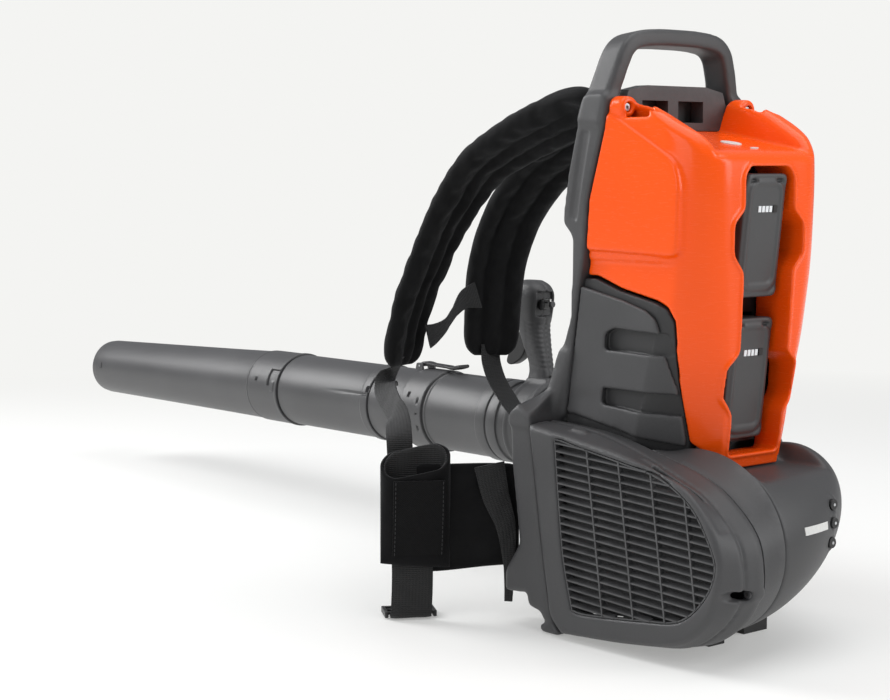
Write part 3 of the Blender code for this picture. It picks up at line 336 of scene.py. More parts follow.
# ============================================================ mesh toolbox
def new_object(name, verts, faces, weld=False, tidy=False, recalc=False, outward=False):
    """A linked mesh object, cleaned up in the ways asked for."""
    mesh = bpy.data.meshes.new(name)
    mesh.from_pydata([tuple(v) for v in verts], [], [tuple(f) for f in faces])
    edit = bmesh.new()
    edit.from_mesh(mesh)
    if weld:
        bmesh.ops.remove_doubles(edit, verts=edit.verts, dist=1e-7)
    if tidy:
        bmesh.ops.dissolve_degenerate(edit, edges=edit.edges, dist=1e-6)
    if recalc:
        bmesh.ops.recalc_face_normals(edit, faces=edit.faces)
    if outward and edit.calc_volume(signed=True) < 0:
        bmesh.ops.reverse_faces(edit, faces=edit.faces)
    edit.to_mesh(mesh)
    edit.free()
    obj = bpy.data.objects.new(name, mesh)
    SCENE.collection.objects.link(obj)
    return obj


def set_finish(obj, finish):
    slot, material = FINISH[finish]
    obj.data.materials.clear()
    obj.data.materials.append(material)
    return slot


def dress(obj, finish, body, sharp=40.0, replaces=()):
    slot = set_finish(obj, finish)
    obj.data.shade_smooth()
    if sharp is not None:
        obj.data.set_sharp_from_angle(angle=math.radians(sharp))
    if body:
        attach(obj, body)
    if replaces:
        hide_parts(*replaces)
    return obj


def make(name, shape, finish, body, sharp=40.0, replaces=()):
    return dress(new_object(name, *shape, weld=True, recalc=True), finish, body, sharp, replaces)


def soften(obj, width, segments=3, angle=35):
    bevel = obj.modifiers.new("soft edges", "BEVEL")
    bevel.width = width
    bevel.segments = segments
    bevel.limit_method = "ANGLE"
    bevel.angle_limit = math.radians(angle)


def loft(rings, loop=False, caps=True):
    """(vertices, faces) through rings of equal count, closed by caps or into a loop."""
    n = len(rings[0])
    verts = [v for ring in rings for v in ring]
    faces = []
    count = len(rings)
    for i in range(count if loop else count - 1):
        here, there = i * n, ((i + 1) % count) * n
        for k in range(n):
            k2 = (k + 1) % n
            faces.append((here + k, here + k2, there + k2, there + k))
    if caps and not loop:
        faces.append(tuple(range(n - 1, -1, -1)))
        faces.append(tuple((count - 1) * n + k for k in range(n)))
    return verts, faces


def joined(shapes):
    """Several (vertices, faces) as one."""
    verts, faces = [], []
    for shape_verts, shape_faces in shapes:
        base = len(verts)
        verts.extend(shape_verts)
        faces.extend(tuple(i + base for i in face) for face in shape_faces)
    return verts, faces


def prism_x(outline, x0, x1):
    return loft([[(x, y, z) for y, z in outline] for x in (x0, x1)])


def prism_y(outline, y0, y1):
    return loft([[(x, y, z) for x, z in outline] for y in (y0, y1)])


def box(x0, x1, y0, y1, z0, z1):
    return loft([[(x0, y0, z), (x1, y0, z), (x1, y1, z), (x0, y1, z)] for z in (z0, z1)])


def rod(axis, centre, radius, start, end, n=32):
    """A cylinder along X or Y; the centre's value on that axis is ignored."""
    cx, cy, cz = centre
    rings = []
    for t in (start, end):
        ring = []
        for k in range(n):
            angle = 2 * math.pi * (k + 0.5) / n
            c, s = radius * math.cos(angle), radius * math.sin(angle)
            ring.append((t, cy + c, cz + s) if axis == "X" else (cx + c, t, cz + s))
        rings.append(ring)
    return loft(rings)


def turned(profile, n):
    """A closed profile of (y, radius) turned about the blow tube's axis."""
    rings = []
    for k in range(n):
        angle = 2 * math.pi * k / n
        c, s = math.cos(angle), math.sin(angle)
        rings.append([(TUBE_X + r * c, y, TUBE_Z + r * s) for y, r in profile])
    return loft(rings, loop=True)


def fillet(points, radius, n=3):
    """A closed outline with its corners rounded by short curves."""
    corners = [Vector(p) for p in points]
    out = []
    for i, corner in enumerate(corners):
        before, after = corners[i - 1] - corner, corners[(i + 1) % len(corners)] - corner
        if before.length < 1e-9 or after.length < 1e-9:
            continue
        reach = min(radius, before.length * 0.46, after.length * 0.46)
        start = corner + before.normalized() * reach
        end = corner + after.normalized() * reach
        for k in range(n + 1):
            t = k / n
            out.append(tuple(start * (1 - t) ** 2 + corner * 2 * t * (1 - t) + end * t * t))
    return out


def spline(points, n, closed=False):
    """Catmull-Rom curve through the points, n samples evenly spaced by length."""
    P = [np.array(p, float) for p in points]
    count = len(P)
    dense = []
    for i in range(count if closed else count - 1):
        if closed:
            p0, p1, p2, p3 = P[i - 1], P[i], P[(i + 1) % count], P[(i + 2) % count]
        else:
            p1, p2 = P[i], P[i + 1]
            p0 = P[i - 1] if i > 0 else 2 * p1 - p2
            p3 = P[i + 2] if i + 2 < count else 2 * p2 - p1
        for k in range(24):
            t = k / 24
            dense.append(0.5 * (2 * p1 + (p2 - p0) * t + (2 * p0 - 5 * p1 + 4 * p2 - p3) * t * t
                                + (3 * p1 - p0 - 3 * p2 + p3) * t ** 3))
    dense.append(dense[0] if closed else P[-1])
    dense = np.array(dense)
    steps = np.linalg.norm(np.diff(dense, axis=0), axis=1)
    length = np.concatenate([[0], np.cumsum(steps)])
    at = np.linspace(0, length[-1], n + 1 if closed else n)
    if closed:
        at = at[:-1]
    return np.stack([np.interp(at, length, dense[:, c]) for c in range(dense.shape[1])], 1)


def spline_length(points):
    return float(np.linalg.norm(np.diff(spline(points, 200), axis=0), axis=1).sum())


def spread(values, n):
    """n samples, straight between one or more evenly spaced values."""
    values = np.atleast_1d(values)
    return np.interp(np.linspace(0, 1, n), np.linspace(0, 1, len(values)), values)


def frames(path, across):
    """Points, across and out vectors along a path; across is one or more directions."""
    points = np.array(path, float)
    tangent = np.gradient(points, axis=0)
    tangent /= np.linalg.norm(tangent, axis=1)[:, None]
    hints = np.atleast_2d(np.array(across, float))
    hints = np.stack([spread(hints[:, c], len(points)) for c in range(3)], 1)
    side = hints - tangent * (hints * tangent).sum(1)[:, None]
    side /= np.linalg.norm(side, axis=1)[:, None]
    return points, side, np.cross(tangent, side)


# ============================================================ distance fields
class Field:
    """Distances to solids on a regular grid, for shapes whose corners blend and round."""

    def __init__(self, lo, hi, cell, band=7.0):
        self.lo = np.array(lo, float)
        self.cell = cell
        self.band = band         # half-width of the exact distances, in cells
        self.n = np.ceil((np.array(hi, float) - self.lo) / cell).astype(int) + 1
        x, y, z = [(self.lo[i] + cell * np.arange(self.n[i])).astype(np.float32)
                   for i in range(3)]
        self.axes = x[:, None, None], y[None, :, None], z[None, None, :]

    def _distances(self, points, **polygons):
        level = openvdb.FloatGrid.createLevelSetFromPolygons(
            points.astype(np.float32), halfWidth=self.band, **polygons)
        values = np.empty(tuple(self.n), np.float32)
        level.copyToArray(values)
        return values * self.cell

    def solid(self, shape):
        """Distance to a closed mesh given as (vertices, faces)."""
        verts, faces = shape
        triangles, quads = [], []
        for face in faces:
            if len(face) == 3:
                triangles.append(face)
            elif len(face) == 4:
                quads.append(face)
            else:
                for corners in tessellate_polygon([[Vector(verts[i]) for i in face]]):
                    triangles.append([face[i] for i in corners])
        polygons = {}
        if triangles:
            polygons["triangles"] = np.array(triangles, np.uint32)
        if quads:
            polygons["quads"] = np.array(quads, np.uint32)
        return self._distances((np.array(verts, float) - self.lo) / self.cell, **polygons)

    def again(self, field, iso=0.0):
        """A true distance field of the surface field = iso."""
        points, quads = self._quads(field, iso)
        return self._distances(points, quads=quads.astype(np.uint32))

    def _quads(self, field, iso=0.0):
        values = np.clip(field / self.cell, -self.band, self.band).astype(np.float32)
        # the grid's outermost layer is kept outside the solid, so that surfaces close
        for edge in (np.s_[0], np.s_[-1], np.s_[:, 0], np.s_[:, -1], np.s_[:, :, 0],
                     np.s_[:, :, -1]):
            values[edge] = np.maximum(values[edge], 0.5 + max(iso, 0) / self.cell)
        level = openvdb.FloatGrid(self.band)
        level.copyFromArray(np.ascontiguousarray(values))
        return level.convertToQuads(iso / self.cell)

    def rounded(self, field, out=0.0, inner=0.0):
        """Convex edges rounded by out and inner corners by inner."""
        if out:
            field = self.again(field, -out) - out
        if inner:
            field = self.again(field, inner) + inner
        return field

    def mesh(self, field):
        """Points and quads, each point slid onto the true zero surface."""
        points, quads = self._quads(field)
        points = np.array(points, float)
        quads = np.array(quads, np.int64)
        values = (field / self.cell).astype(np.float64)

        def value(at):
            clipped = np.clip(at, 0, self.n - 1.001)
            low = np.floor(clipped).astype(int)
            t = clipped - low
            total = 0.0
            for corner in product((0, 1), repeat=3):
                weight = np.prod(np.where(corner, t, 1 - t), axis=1)
                total = total + weight * values[tuple((low + corner).T)]
            return total

        for _ in range(2):
            slope = np.stack([value(points + d) - value(points - d) for d in 0.5 * np.eye(3)], 1)
            steep = (slope * slope).sum(1) + 1e-9
            move = -((value(points) / steep)[:, None] * slope)
            far = np.linalg.norm(move, axis=1)
            move *= (np.minimum(far, 0.35) / (far + 1e-12))[:, None]
            points = points + move
        return self.lo + points * self.cell, quads

    def piece(self, name, field, finish, body, replaces, relax=2):
        points, quads = self.mesh(field)
        points = relaxed(points, quads, relax)
        obj = new_object(name, points.tolist(), quads.tolist(), tidy=True, outward=True)
        return dress(obj, finish, body, None, replaces)


def relaxed(points, quads, times):
    """Laplacian smoothing with a push back, so that flats stay flat and sizes hold."""
    ends = quads.T.ravel()
    others = np.roll(quads, -1, axis=1).T.ravel()
    first = np.concatenate([ends, others])
    second = np.concatenate([others, ends])
    count = np.bincount(first, minlength=len(points)).astype(float)
    count[count == 0] = 1

    def pull(p):
        return np.stack([np.bincount(first, weights=p[second, c], minlength=len(p)) / count
                         for c in range(3)], 1) - p

    for _ in range(times):
        points = points + 0.5 * pull(points)
        points = points - 0.51 * pull(points)
    return points


def cell_size(full):
    return full


def smin(a, b, k):
    """Union whose inner corner is blended over a length k."""
    if k <= 0:
        return np.minimum(a, b)
    h = np.maximum(k - np.abs(a - b), 0.0) / k
    return np.minimum(a, b) - h * h * k * 0.25


def smax(a, b, k):
    return -smin(-a, -b, k)


def minus(a, b, k=0.0):
    return smax(a, -b, k)


def overlap(*fields):
    return reduce(np.maximum, fields)


def slab(value, centre, half):
    return np.abs(value - centre) - half


def radial(a, b):
    return np.sqrt(a ** 2 + b ** 2)


def clip01(t):
    return np.clip(t, 0.0, 1.0)


# ============================================================ the pack's upper skin
# z, rear face's y, half-width of the rear's flat, y where the corner starts on the
# side, exponent of the corner's curve
BODY = [
    (0.155, -0.0820, 0.0385, -0.020, 1.00),
    (0.190, -0.0880, 0.0420, -0.025, 1.05),
    (0.240, -0.0935, 0.0440, -0.036, 1.25),
    (0.270, -0.0975, 0.0455, -0.045, 1.45),
    (0.350, -0.1015, 0.0520, -0.052, 1.80),
    (0.430, -0.1020, 0.0520, -0.056, 2.00),
    (0.460, -0.1000, 0.0520, -0.054, 2.00),
    (0.520, -0.0940, 0.0500, -0.050, 2.00),
]


def body_row(z):
    """Row of BODY at a height, eased so that the levels don't show as creases."""
    rows = np.array(BODY)
    total = 0.0
    for d in (-0.020, -0.012, -0.004, 0.004, 0.012, 0.020):
        total = total + np.array([np.interp(z + d, rows[:, 0], rows[:, c]) for c in range(1, 5)])
    return total / 6


def body_loft(half_width, inset=0.0):
    """The pack's body as levels 4 mm apart, its rear moved forward by inset."""
    y_front, steps = 0.070, 28
    rings = []
    for z in np.arange(0.140, 0.532, 0.004):
        y_rear, flat, y_corner, power = body_row(z)
        y_rear += inset
        right = []
        for k in range(steps + 1):
            angle = 0.5 * math.pi * k / steps
            c, s = math.cos(angle) ** (2 / power), math.sin(angle) ** (2 / power)
            right.append((flat + (half_width - flat) * c, y_corner + (y_rear - y_corner) * s))
        left = [(-x, y) for x, y in right]
        outline = ([(-half_width, y_front)] + left + list(reversed(right))
                   + [(half_width, y_front)])
        rings.append([(x, y, z) for x, y in outline])
    return loft(rings)


# side views, (y, z)
SEAM = [          # between the battery cover and the back frame, from the top
    (0.013, 0.503), (0.018, 0.470), (0.037, 0.406), (0.041, 0.354),
    (0.047, 0.325), (0.053, 0.284), (0.061, 0.231), (0.063, 0.206)]
BORDER = [        # between the battery cover and the side covers, from the front
    (0.030, 0.3345), (-0.001, 0.324), (-0.046, 0.3150), (-0.058, 0.310),
    (-0.064, 0.299), (-0.064, 0.282), (-0.061, 0.227), (-0.062, 0.1865)]
SLOPE = [         # the cover's top, falling to the rear
    (0.07, 0.5010), (0.012, 0.5010), (-0.020, 0.4965), (-0.045, 0.4850),
    (-0.081, 0.4660), (-0.101, 0.4510), (-0.150, 0.4080)]
SIDE_PANEL = [    # proud flat panel on each side of the cover
    (0.080, 0.360), (-0.040, 0.3570), (-0.0745, 0.3545), (-0.0765, 0.4230),
    (-0.0700, 0.4420), (-0.045, 0.4560), (0.000, 0.4800), (0.080, 0.510)]
SEAM_GAP = 0.0009
PANEL_X = 0.0952                  # outer face of the proud side panels
COVER_SCREW_X, COVER_SCREW_Z = 0.083, 0.4905

# right half of the battery window, (x, z) from the top
WINDOW_RIGHT = [
    (0.0260, 0.437), (0.0335, 0.428), (0.0335, 0.398), (0.0475, 0.385), (0.0475, 0.358),
    (0.0335, 0.342), (0.0325, 0.268), (0.0470, 0.255), (0.0470, 0.228), (0.0350, 0.212),
    (0.0335, 0.1740)]

DECK_Y, DECK_Z, DECK_SLOPE = 0.0120, 0.4700, 0.184
DECK_PLATES = (   # name, centre x and y, half-sizes in x and y
    ("deck_plate_round", 0.0020, -0.0526, 0.0098, 0.0098),
    ("deck_plate_strip", 0.0040, -0.0790, 0.0055, 0.0016))


def deck_z(y):
    return DECK_Z + DECK_SLOPE * (y - DECK_Y)


def cover_skin(grid):
    """The cover as a full solid, before it is hollowed."""
    x, y, z = grid.axes
    body = grid.solid(body_loft(0.0908))
    panel = grid.solid(prism_x(fillet(SIDE_PANEL, 0.012, 6), -PANEL_X, PANEL_X))
    inside = grid.solid(body_loft(0.0975, -0.0120))
    panel = smax(panel, inside, 0.001)
    # below the panel the side leans in along a long bevel
    skin = smin(body, panel, 0.0034)
    sink = 0.0078 * clip01((0.3590 - z) / 0.0105)
    skin = smax(skin, np.abs(x) - PANEL_X + sink, 0.0014)
    # top: falls to the rear, ridges at the sides, deck sunk between them
    above = grid.solid(prism_x(SLOPE + [(-0.150, 0.60), (0.07, 0.60)], -0.2, 0.2))
    skin = minus(skin, above, 0.0130)
    floor = deck_z(y)
    half_width = 0.0605 + 0.30 * np.clip(z - floor, 0, 0.03)
    return minus(skin, overlap(floor - z, np.abs(x) - half_width), 0.0090)


def cover():
    grid = Field((-0.101, -0.111, 0.152), (0.101, 0.048, 0.508), 0.0014)
    x, y, z = grid.axes
    skin = cover_skin(grid)
    shell = overlap(skin, -(grid.again(skin) + 0.0042))
    # trough round the two batteries, its walls running inwards
    window = WINDOW_RIGHT + [(-px, pz) for px, pz in reversed(WINDOW_RIGHT)]
    hole = grid.solid(prism_y(fillet(window, 0.0045, 4), -0.13, 0.05))
    walls = overlap(hole - 0.0036, y + 0.0575, skin - 0.0004, -(hole + 0.0006))
    shell = smin(shell, walls, 0.002)
    # cut along the frame's seam, the side covers' border and the bottom
    seam = [(py - SEAM_GAP, pz) for py, pz in [(0.0130, 0.54)] + SEAM]
    front = grid.solid(prism_x(seam + [(0.064, 0.10), (0.12, 0.10), (0.12, 0.54)], -0.2, 0.2))
    shell = overlap(shell, -front)
    below = BORDER + [(-0.090, 0.1570), (-0.110, 0.150), (-0.110, 0.10), (0.10, 0.10)]
    side = grid.solid(prism_x([(0.10, 0.3345)] + below, -0.2, 0.2))
    shell = minus(shell, overlap(side, 0.0400 - np.abs(x)), 0.001)
    shell = overlap(shell, 0.1596 - z)
    # screw bosses in the top corners, each in a scooped recess
    radii = [radial(x - sx * COVER_SCREW_X, z - COVER_SCREW_Z) for sx in (-1, 1)]
    for r in radii:
        scoop = overlap(r - 0.0095, y + 0.0045, -0.026 - y + 0.9 * (z - COVER_SCREW_Z))
        shell = minus(shell, scoop, 0.0025)
        shell = smin(shell, overlap(r - 0.0100, slab(y, 0.0040, 0.0082)), 0.0030)
    shell = grid.rounded(shell, 0.0011, 0.0012)
    # a crisp light lip round the window
    lip = overlap(slab(hole, 0.0016, 0.0014), slab(skin, 0.0, 0.0012))
    shell = smin(shell, lip, 0.0022)
    shell = minus(shell, hole, 0.0016)
    for r in radii:
        shell = minus(shell, r - 0.0045, 0.001)
    grid.piece("battery_cover_shell", shell, "orange", "pack", ("battery_cover",))
    deck_plates()


def deck_plates():
    """A blank round plate and a short blank strip on the deck."""
    for name, cx, cy, half_x, half_y in DECK_PLATES:
        rings = []
        for up, scale in ((-0.0006, 1.0), (0.0004, 1.0), (0.0007, 0.96)):
            ring = []
            for i in range(48):
                angle = 2 * math.pi * i / 48
                y = cy + half_y * scale * math.sin(angle)
                ring.append((cx + half_x * scale * math.cos(angle), y - DECK_SLOPE * up,
                             deck_z(y) + up))
            rings.append(ring)
        make(name, loft(rings), "label", "pack", 30)


# ============================================================ back frame
# side views, (y, z)
FRAME_FRONT = [
    (0.043, 0.503), (0.062, 0.432), (0.070, 0.384), (0.056, 0.371), (0.058, 0.295),
    (0.076, 0.245), (0.090, 0.199)]
FRAME_PLATE = [   # plate between the two rails
    (0.030, 0.490), (0.040, 0.490), (0.054, 0.432), (0.060, 0.384), (0.052, 0.371),
    (0.054, 0.295), (0.072, 0.245), (0.085, 0.199), (0.066, 0.199), (0.060, 0.240),
    (0.047, 0.295), (0.044, 0.371), (0.046, 0.425)]
FRAME_LOWER = [
    (0.0714, 0.200), (0.088, 0.215), (0.0975, 0.200), (0.0960, 0.1605), (0.0885, 0.110),
    (0.0845, 0.0812), (0.1040, 0.0530), (0.1050, 0.0318), (0.0745, 0.0345), (0.0720, 0.0228),
    (0.0560, 0.0195), (0.0480, 0.0125), (0.0385, 0.0125), (0.0416, 0.0185), (0.0458, 0.0411),
    (0.0543, 0.0862), (0.0651, 0.1573)]
FRAME_FOOT = [
    (0.0290, 0.0), (0.0545, 0.0), (0.0600, 0.0055), (0.0505, 0.0105), (0.0560, 0.0300),
    (0.0440, 0.0300), (0.0400, 0.0120)]
RAIL_GROOVE = [
    (0.0440, 0.4700), (0.0530, 0.4250), (0.0590, 0.3900), (0.0500, 0.3850), (0.0440, 0.4200),
    (0.0330, 0.4700)]
FOOT_SPANS = ((-0.1345, -0.1180), (0.0600, 0.0780))     # x of each foot
RAIL_X0, RAIL_X1 = 0.0790, 0.0960

# left shoulder, from the rail outwards: x, then the section's (y, z)
SHOULDER = (
    (-0.079, ((0.071, 0.196), (0.088, 0.196), (0.070, 0.262), (0.058, 0.262))),
    (-0.096, ((0.0715, 0.196), (0.088, 0.196), (0.070, 0.262), (0.058, 0.262))),
    (-0.104, ((0.0718, 0.196), (0.089, 0.196), (0.083, 0.226), (0.0720, 0.226))),
    (-0.1355, ((0.0718, 0.196), (0.0965, 0.196), (0.0960, 0.203), (0.0722, 0.203))))
# right half of the top hoop's centre line, (x, y, z)
HOOP_RIGHT = [
    (0.0885, 0.0345, 0.476), (0.0838, 0.0310, 0.497), (0.0772, 0.0275, 0.5185),
    (0.0716, 0.0257, 0.5340), (0.0662, 0.0247, 0.5440), (0.0570, 0.0243, 0.5510),
    (0.0430, 0.0243, 0.5542), (0.0220, 0.0243, 0.5556)]
HOOP_TOP = (0, 0.0243, 0.5558)
HOOP_HALF_WIDTH, HOOP_HALF_THICK = 0.0150, 0.0080


def hoop_shape():
    left = [(-x, y, z) for x, y, z in HOOP_RIGHT]
    path = spline(left + [HOOP_TOP] + list(reversed(HOOP_RIGHT)), 110)
    points, across, out = frames(path, (0, 1, -0.1))
    w, t = HOOP_HALF_WIDTH, HOOP_HALF_THICK
    section = fillet([(-w, -t), (w, -t), (w, t), (-w, t)], 0.0042, 5)
    return loft([[tuple(points[i] + across[i] * a + out[i] * b) for a, b in section]
                 for i in range(len(points))])


def back_frame():
    grid = Field((-0.1400, -0.0040, -0.0035), (0.1005, 0.1060, 0.5680),
                 cell_size(0.0017))
    rail = fillet(SEAM[:-1] + [(0.0645, 0.199)] + list(reversed(FRAME_FRONT)), 0.006, 3)
    solid = grid.solid(prism_x(rail, -RAIL_X1, -RAIL_X0))
    solid = np.minimum(solid, grid.solid(prism_x(rail, RAIL_X0, RAIL_X1)))
    solid = smin(solid, grid.solid(prism_x(FRAME_PLATE, -0.0810, 0.0810)), 0.004)
    lower = fillet(FRAME_LOWER, 0.0032, 3)
    solid = smin(solid, grid.solid(prism_x(lower, -0.1360, 0.0795)), 0.004)
    shoulder = loft([[(x, y, z) for y, z in section] for x, section in SHOULDER])
    solid = smin(solid, grid.solid(shoulder), 0.010)
    for x0, x1 in FOOT_SPANS:
        foot = prism_x(fillet(FRAME_FOOT, 0.0022, 3), x0, x1)
        solid = smin(solid, grid.solid(foot), 0.004)
    solid = smin(solid, grid.solid(hoop_shape()), 0.008)
    # the lower body is a tray, open to the rear
    solid = minus(solid, grid.solid(box(-0.126, 0.070, 0.000, 0.0700, 0.050, 0.180)), 0.003)
    solid = grid.rounded(solid, 0.0018, 0.0022)
    # a shallow groove in the outer face of each rail
    groove = fillet(RAIL_GROOVE, 0.004, 3)
    for span in ((-0.11, -0.0948), (0.0948, 0.11)):
        solid = minus(solid, grid.solid(prism_x(groove, *span)), 0.0012)
    grid.piece("back_frame_shell", solid, "dark", "pack", ("back_frame",))


# ============================================================ side covers
# right side views, (y, z)
PANEL_FOOT = [
    (-0.060, 0.1822), (-0.048, 0.1850), (0.000, 0.1955), (0.050, 0.2040), (0.0620, 0.2050)]
RIM_FOOT = [
    (-0.058, 0.1725), (-0.048, 0.1730), (0.000, 0.1800), (0.050, 0.1890), (0.0620, 0.1920)]
PANEL_TOP = [
    (0.0440, 0.3250), (-0.007, 0.3150), (-0.036, 0.3070), (-0.0485, 0.2990),
    (-0.0525, 0.2880), (-0.0615, 0.2330), (-0.0605, 0.1868)]
POCKETS = [
    [(0.0140, 0.2830), (0.0030, 0.2880), (-0.0585, 0.2860), (-0.0610, 0.2665), (0.0150, 0.2680)],
    [(0.0170, 0.2320), (-0.0600, 0.2310), (-0.0620, 0.2110), (0.0180, 0.2170)]]


def side_covers():
    """A rim in a darker plastic that paints the shade of its recess, and a grey panel with two
    pockets, built on the right and mirrored.
    """
    grid = Field((0.034, -0.099, 0.170), (0.113, 0.067, 0.338), cell_size(0.0012), 12.0)
    x, y, z = grid.axes
    body = grid.solid(body_loft(0.0940, 0.0008))
    flare = 0.0050 * clip01((0.224 - z) / 0.026) ** 1.5 * clip01((y + 0.010) / 0.050)
    body = body - flare * clip01((x - 0.060) / 0.02)

    def outline(points, corner, steps):
        return grid.solid(prism_x(fillet(points, corner, steps), 0.040, 0.2))

    front = [(py - SEAM_GAP, pz) for py, pz in reversed(SEAM[4:])][1:]
    top = [(0.0445, 0.3325), (0.030, 0.3325)] + [(py + 0.0008, pz - 0.0014)
                                                 for py, pz in BORDER[1:]]
    rim_outline = outline(top + RIM_FOOT + front, 0.0020, 2)
    panel_outline = outline(PANEL_TOP + PANEL_FOOT + front, 0.0035, 3)
    pockets = reduce(np.minimum, [outline(points, 0.0040, 4) for points in POCKETS])
    panel = overlap(body, -(body + 0.0046), panel_outline)
    panel = minus(panel, pockets, 0.0008)
    panel = grid.rounded(panel, out=0.0011)
    rim = overlap(body + 0.0044, -(body + 0.0125), rim_outline)
    # the pocket floors are deeper towards the front
    depth = 0.0056 + 0.0022 * clip01((y + 0.060) / 0.075)
    rim = minus(rim, overlap(pockets - 0.0010, -(body + depth)), 0.001)
    # the rim's darker finish is painted shade of its recess
    for part, field, finish in (("panel", panel, "dark"), ("rim", rim, "recessed_rim_shade")):
        points, quads = grid.mesh(field)
        points = relaxed(points, quads, 2)
        for sx, side in ((1, "right"), (-1, "left")):
            obj = new_object("side_cover_%s_%s" % (part, side),
                             (points * np.array([sx, 1, 1])).tolist(),
                             (quads if sx > 0 else quads[:, ::-1]).tolist(), outward=True)
            dress(obj, finish, "pack", None, ("side_cover_" + side,))


# ============================================================ fan housing
# centre line of the outlet from the dome to the blow tube: y, x, z, radius
OUTLET = [
    (-0.070, 0.030, 0.110, 0.056), (-0.035, 0.060, 0.120, 0.054), (0.000, 0.104, 0.134, 0.050),
    (0.030, 0.134, 0.142, 0.0475), (0.050, TUBE_X, TUBE_Z, 0.0475),
    (0.100, TUBE_X, TUBE_Z, 0.0475)]
DOME_HALF_Y, DOME_HALF_Z = 0.098, 0.084
DOME_X0, DOME_X1 = -0.060, 0.099      # its mouth on the left and its tip on the right
DOME_RISE = 0.039                     # how far the tip lies above the fan axis
BOSSES = (("top", 0.0270, 0.1320), ("middle", 0.0240, 0.1160), ("bottom", 0.0220, 0.0980))


def dome_section(x):
    """Scale of the dome's section at x, and the height of its centre."""
    t = min(max((x - DOME_X0) / (DOME_X1 - DOME_X0), 0.0), 1.0)
    return math.sqrt(max(0.0, 1 - t * t)), FAN_Z + DOME_RISE * t ** 1.5


def dome_ring(x, n=96):
    scale, zc = dome_section(x)
    return [(x, FAN_Y + DOME_HALF_Y * scale * math.cos(2 * math.pi * k / n),
             zc + DOME_HALF_Z * scale * math.sin(2 * math.pi * k / n)) for k in range(n)]


def dome_rear(x, z):
    """y of the dome's rear face at a given x and height."""
    scale, zc = dome_section(x)
    height = (z - zc) / (DOME_HALF_Z * scale)
    return FAN_Y - DOME_HALF_Y * scale * math.sqrt(max(0.0, 1 - height ** 2))


def fan_skin(grid):
    """Dome with a saddle on top, blended into the outlet."""
    x, y, z = grid.axes
    stations = [-0.0780] + [DOME_X0 + (DOME_X1 - DOME_X0) * math.sin(0.5 * math.pi * k / 40)
                            for k in range(40)] + [0.0985]
    dome = grid.solid(loft([dome_ring(at) for at in stations]))
    # flat in the middle, falling steeply beyond |x| = 0.052; 2.417 makes it a distance
    flat = z - 0.1590
    saddle = np.minimum(flat, (flat - (np.abs(x) - 0.052) * 2.2) / 2.417)
    dome = smax(dome, saddle, 0.006)
    way = np.concatenate([spline(OUTLET, 44), [[0.112, TUBE_X, TUBE_Z, 0.0475]]])
    angles = [2 * math.pi * k / 72 for k in range(72)]
    outlet = grid.solid(loft([[(cx + r * math.cos(a), cy, cz + r * math.sin(a)) for a in angles]
                              for cy, cx, cz, r in way]))
    return smin(dome, outlet, 0.018)


def fan_outer():
    grid = Field((-0.0640, -0.1800, 0.0080), (0.1930, 0.1060, 0.1960),
                 cell_size(0.0018), 9.0)
    x, y, z = grid.axes
    skin = fan_skin(grid)
    solid = skin
    for _, bx, bz in BOSSES:
        rear = dome_rear(bx, bz)
        r = radial(x - bx, z - bz)
        boss = overlap(r - 0.0082, slab(y, rear + 0.0050, 0.0084))
        solid = smin(solid, boss, 0.003)
        solid = minus(solid, overlap(r - 0.0062, y - (rear + 0.0006)), 0.0008)
    solid = overlap(solid, -(grid.again(skin) + 0.0062), -0.0598 - x, y - 0.1000)
    solid = grid.rounded(solid, 0.0010, 0.0012)
    for tag, bx, bz in BOSSES:
        rear = dome_rear(bx, bz)
        name = "housing_screw_" + tag
        head = rod("Y", (bx, 0, bz), 0.0050, rear - 0.0026, rear + 0.0020, 40)
        soften(make(name + "_head", head, "black", "pack", 30, (name,)), 0.0007)
        socket = rod("Y", (bx, 0, bz), 0.0015, rear - 0.0030, rear - 0.0020, 6)
        make(name + "_socket", socket, "steel", "pack", 30)
    blank_plate()
    grid.piece("fan_housing_shell", solid, "dark", "pack", ("fan_housing_outer",))


def blank_plate():
    """Blank pale plate on the rear of the dome."""
    def row(x, offset):
        return [(x, dome_rear(x, z) + offset, z) for z in (0.1126, 0.1150, 0.1174, 0.1196)]

    stations = [-0.0300 + 0.0400 * i / 14 for i in range(15)]
    rings = [row(x, -0.0006) + row(x, 0.0010)[::-1] for x in stations]
    make("housing_blank_plate", loft(rings), "label", "pack", 30)


def fan_inner():
    """Drum between the intake cover's back edge and the dome's mouth."""
    edge = np.array([(y - FAN_Y, z - FAN_Z) for _, y, z in d_outline(INTAKE_BACK, 0.0)])
    after = np.roll(edge, -1, 0)
    rings = []
    for k in range(168):
        angle = 2 * math.pi * k / 168
        c, s = math.cos(angle), math.sin(angle)
        # ray from the fan's axis to the cover's outline
        reach = 1.0
        for (y0, z0), (y1, z1) in zip(edge, after):
            d0, d1 = c * z0 - s * y0, c * z1 - s * y1
            if d0 * d1 <= 0 and d0 != d1:
                t = d0 / (d0 - d1)
                r = c * (y0 + (y1 - y0) * t) + s * (z0 + (z1 - z0) * t)
                if 0 < r < reach:
                    reach = r
        mouth = 1 / math.sqrt((c / DOME_HALF_Y) ** 2 + (s / DOME_HALF_Z) ** 2)
        rim = min(reach - 0.0012, mouth + 0.004)
        profile = [          # x, radius
            (-0.0604, mouth - 0.0001), (-0.0700, 0.62 * mouth + 0.38 * rim),
            (-0.0800, 0.20 * mouth + 0.80 * rim), (-0.0876, rim), (-0.0880, rim - 0.0006),
            (-0.0880, 0.0530), (-0.0850, 0.0530), (-0.0850, rim - 0.0050),
            (-0.0604, mouth - 0.0050)]
        rings.append([(x, FAN_Y + r * c, FAN_Z + r * s) for x, r in profile])
    make("fan_drum", loft(rings, loop=True), "dark", "pack", 40, ("fan_housing_inner",))


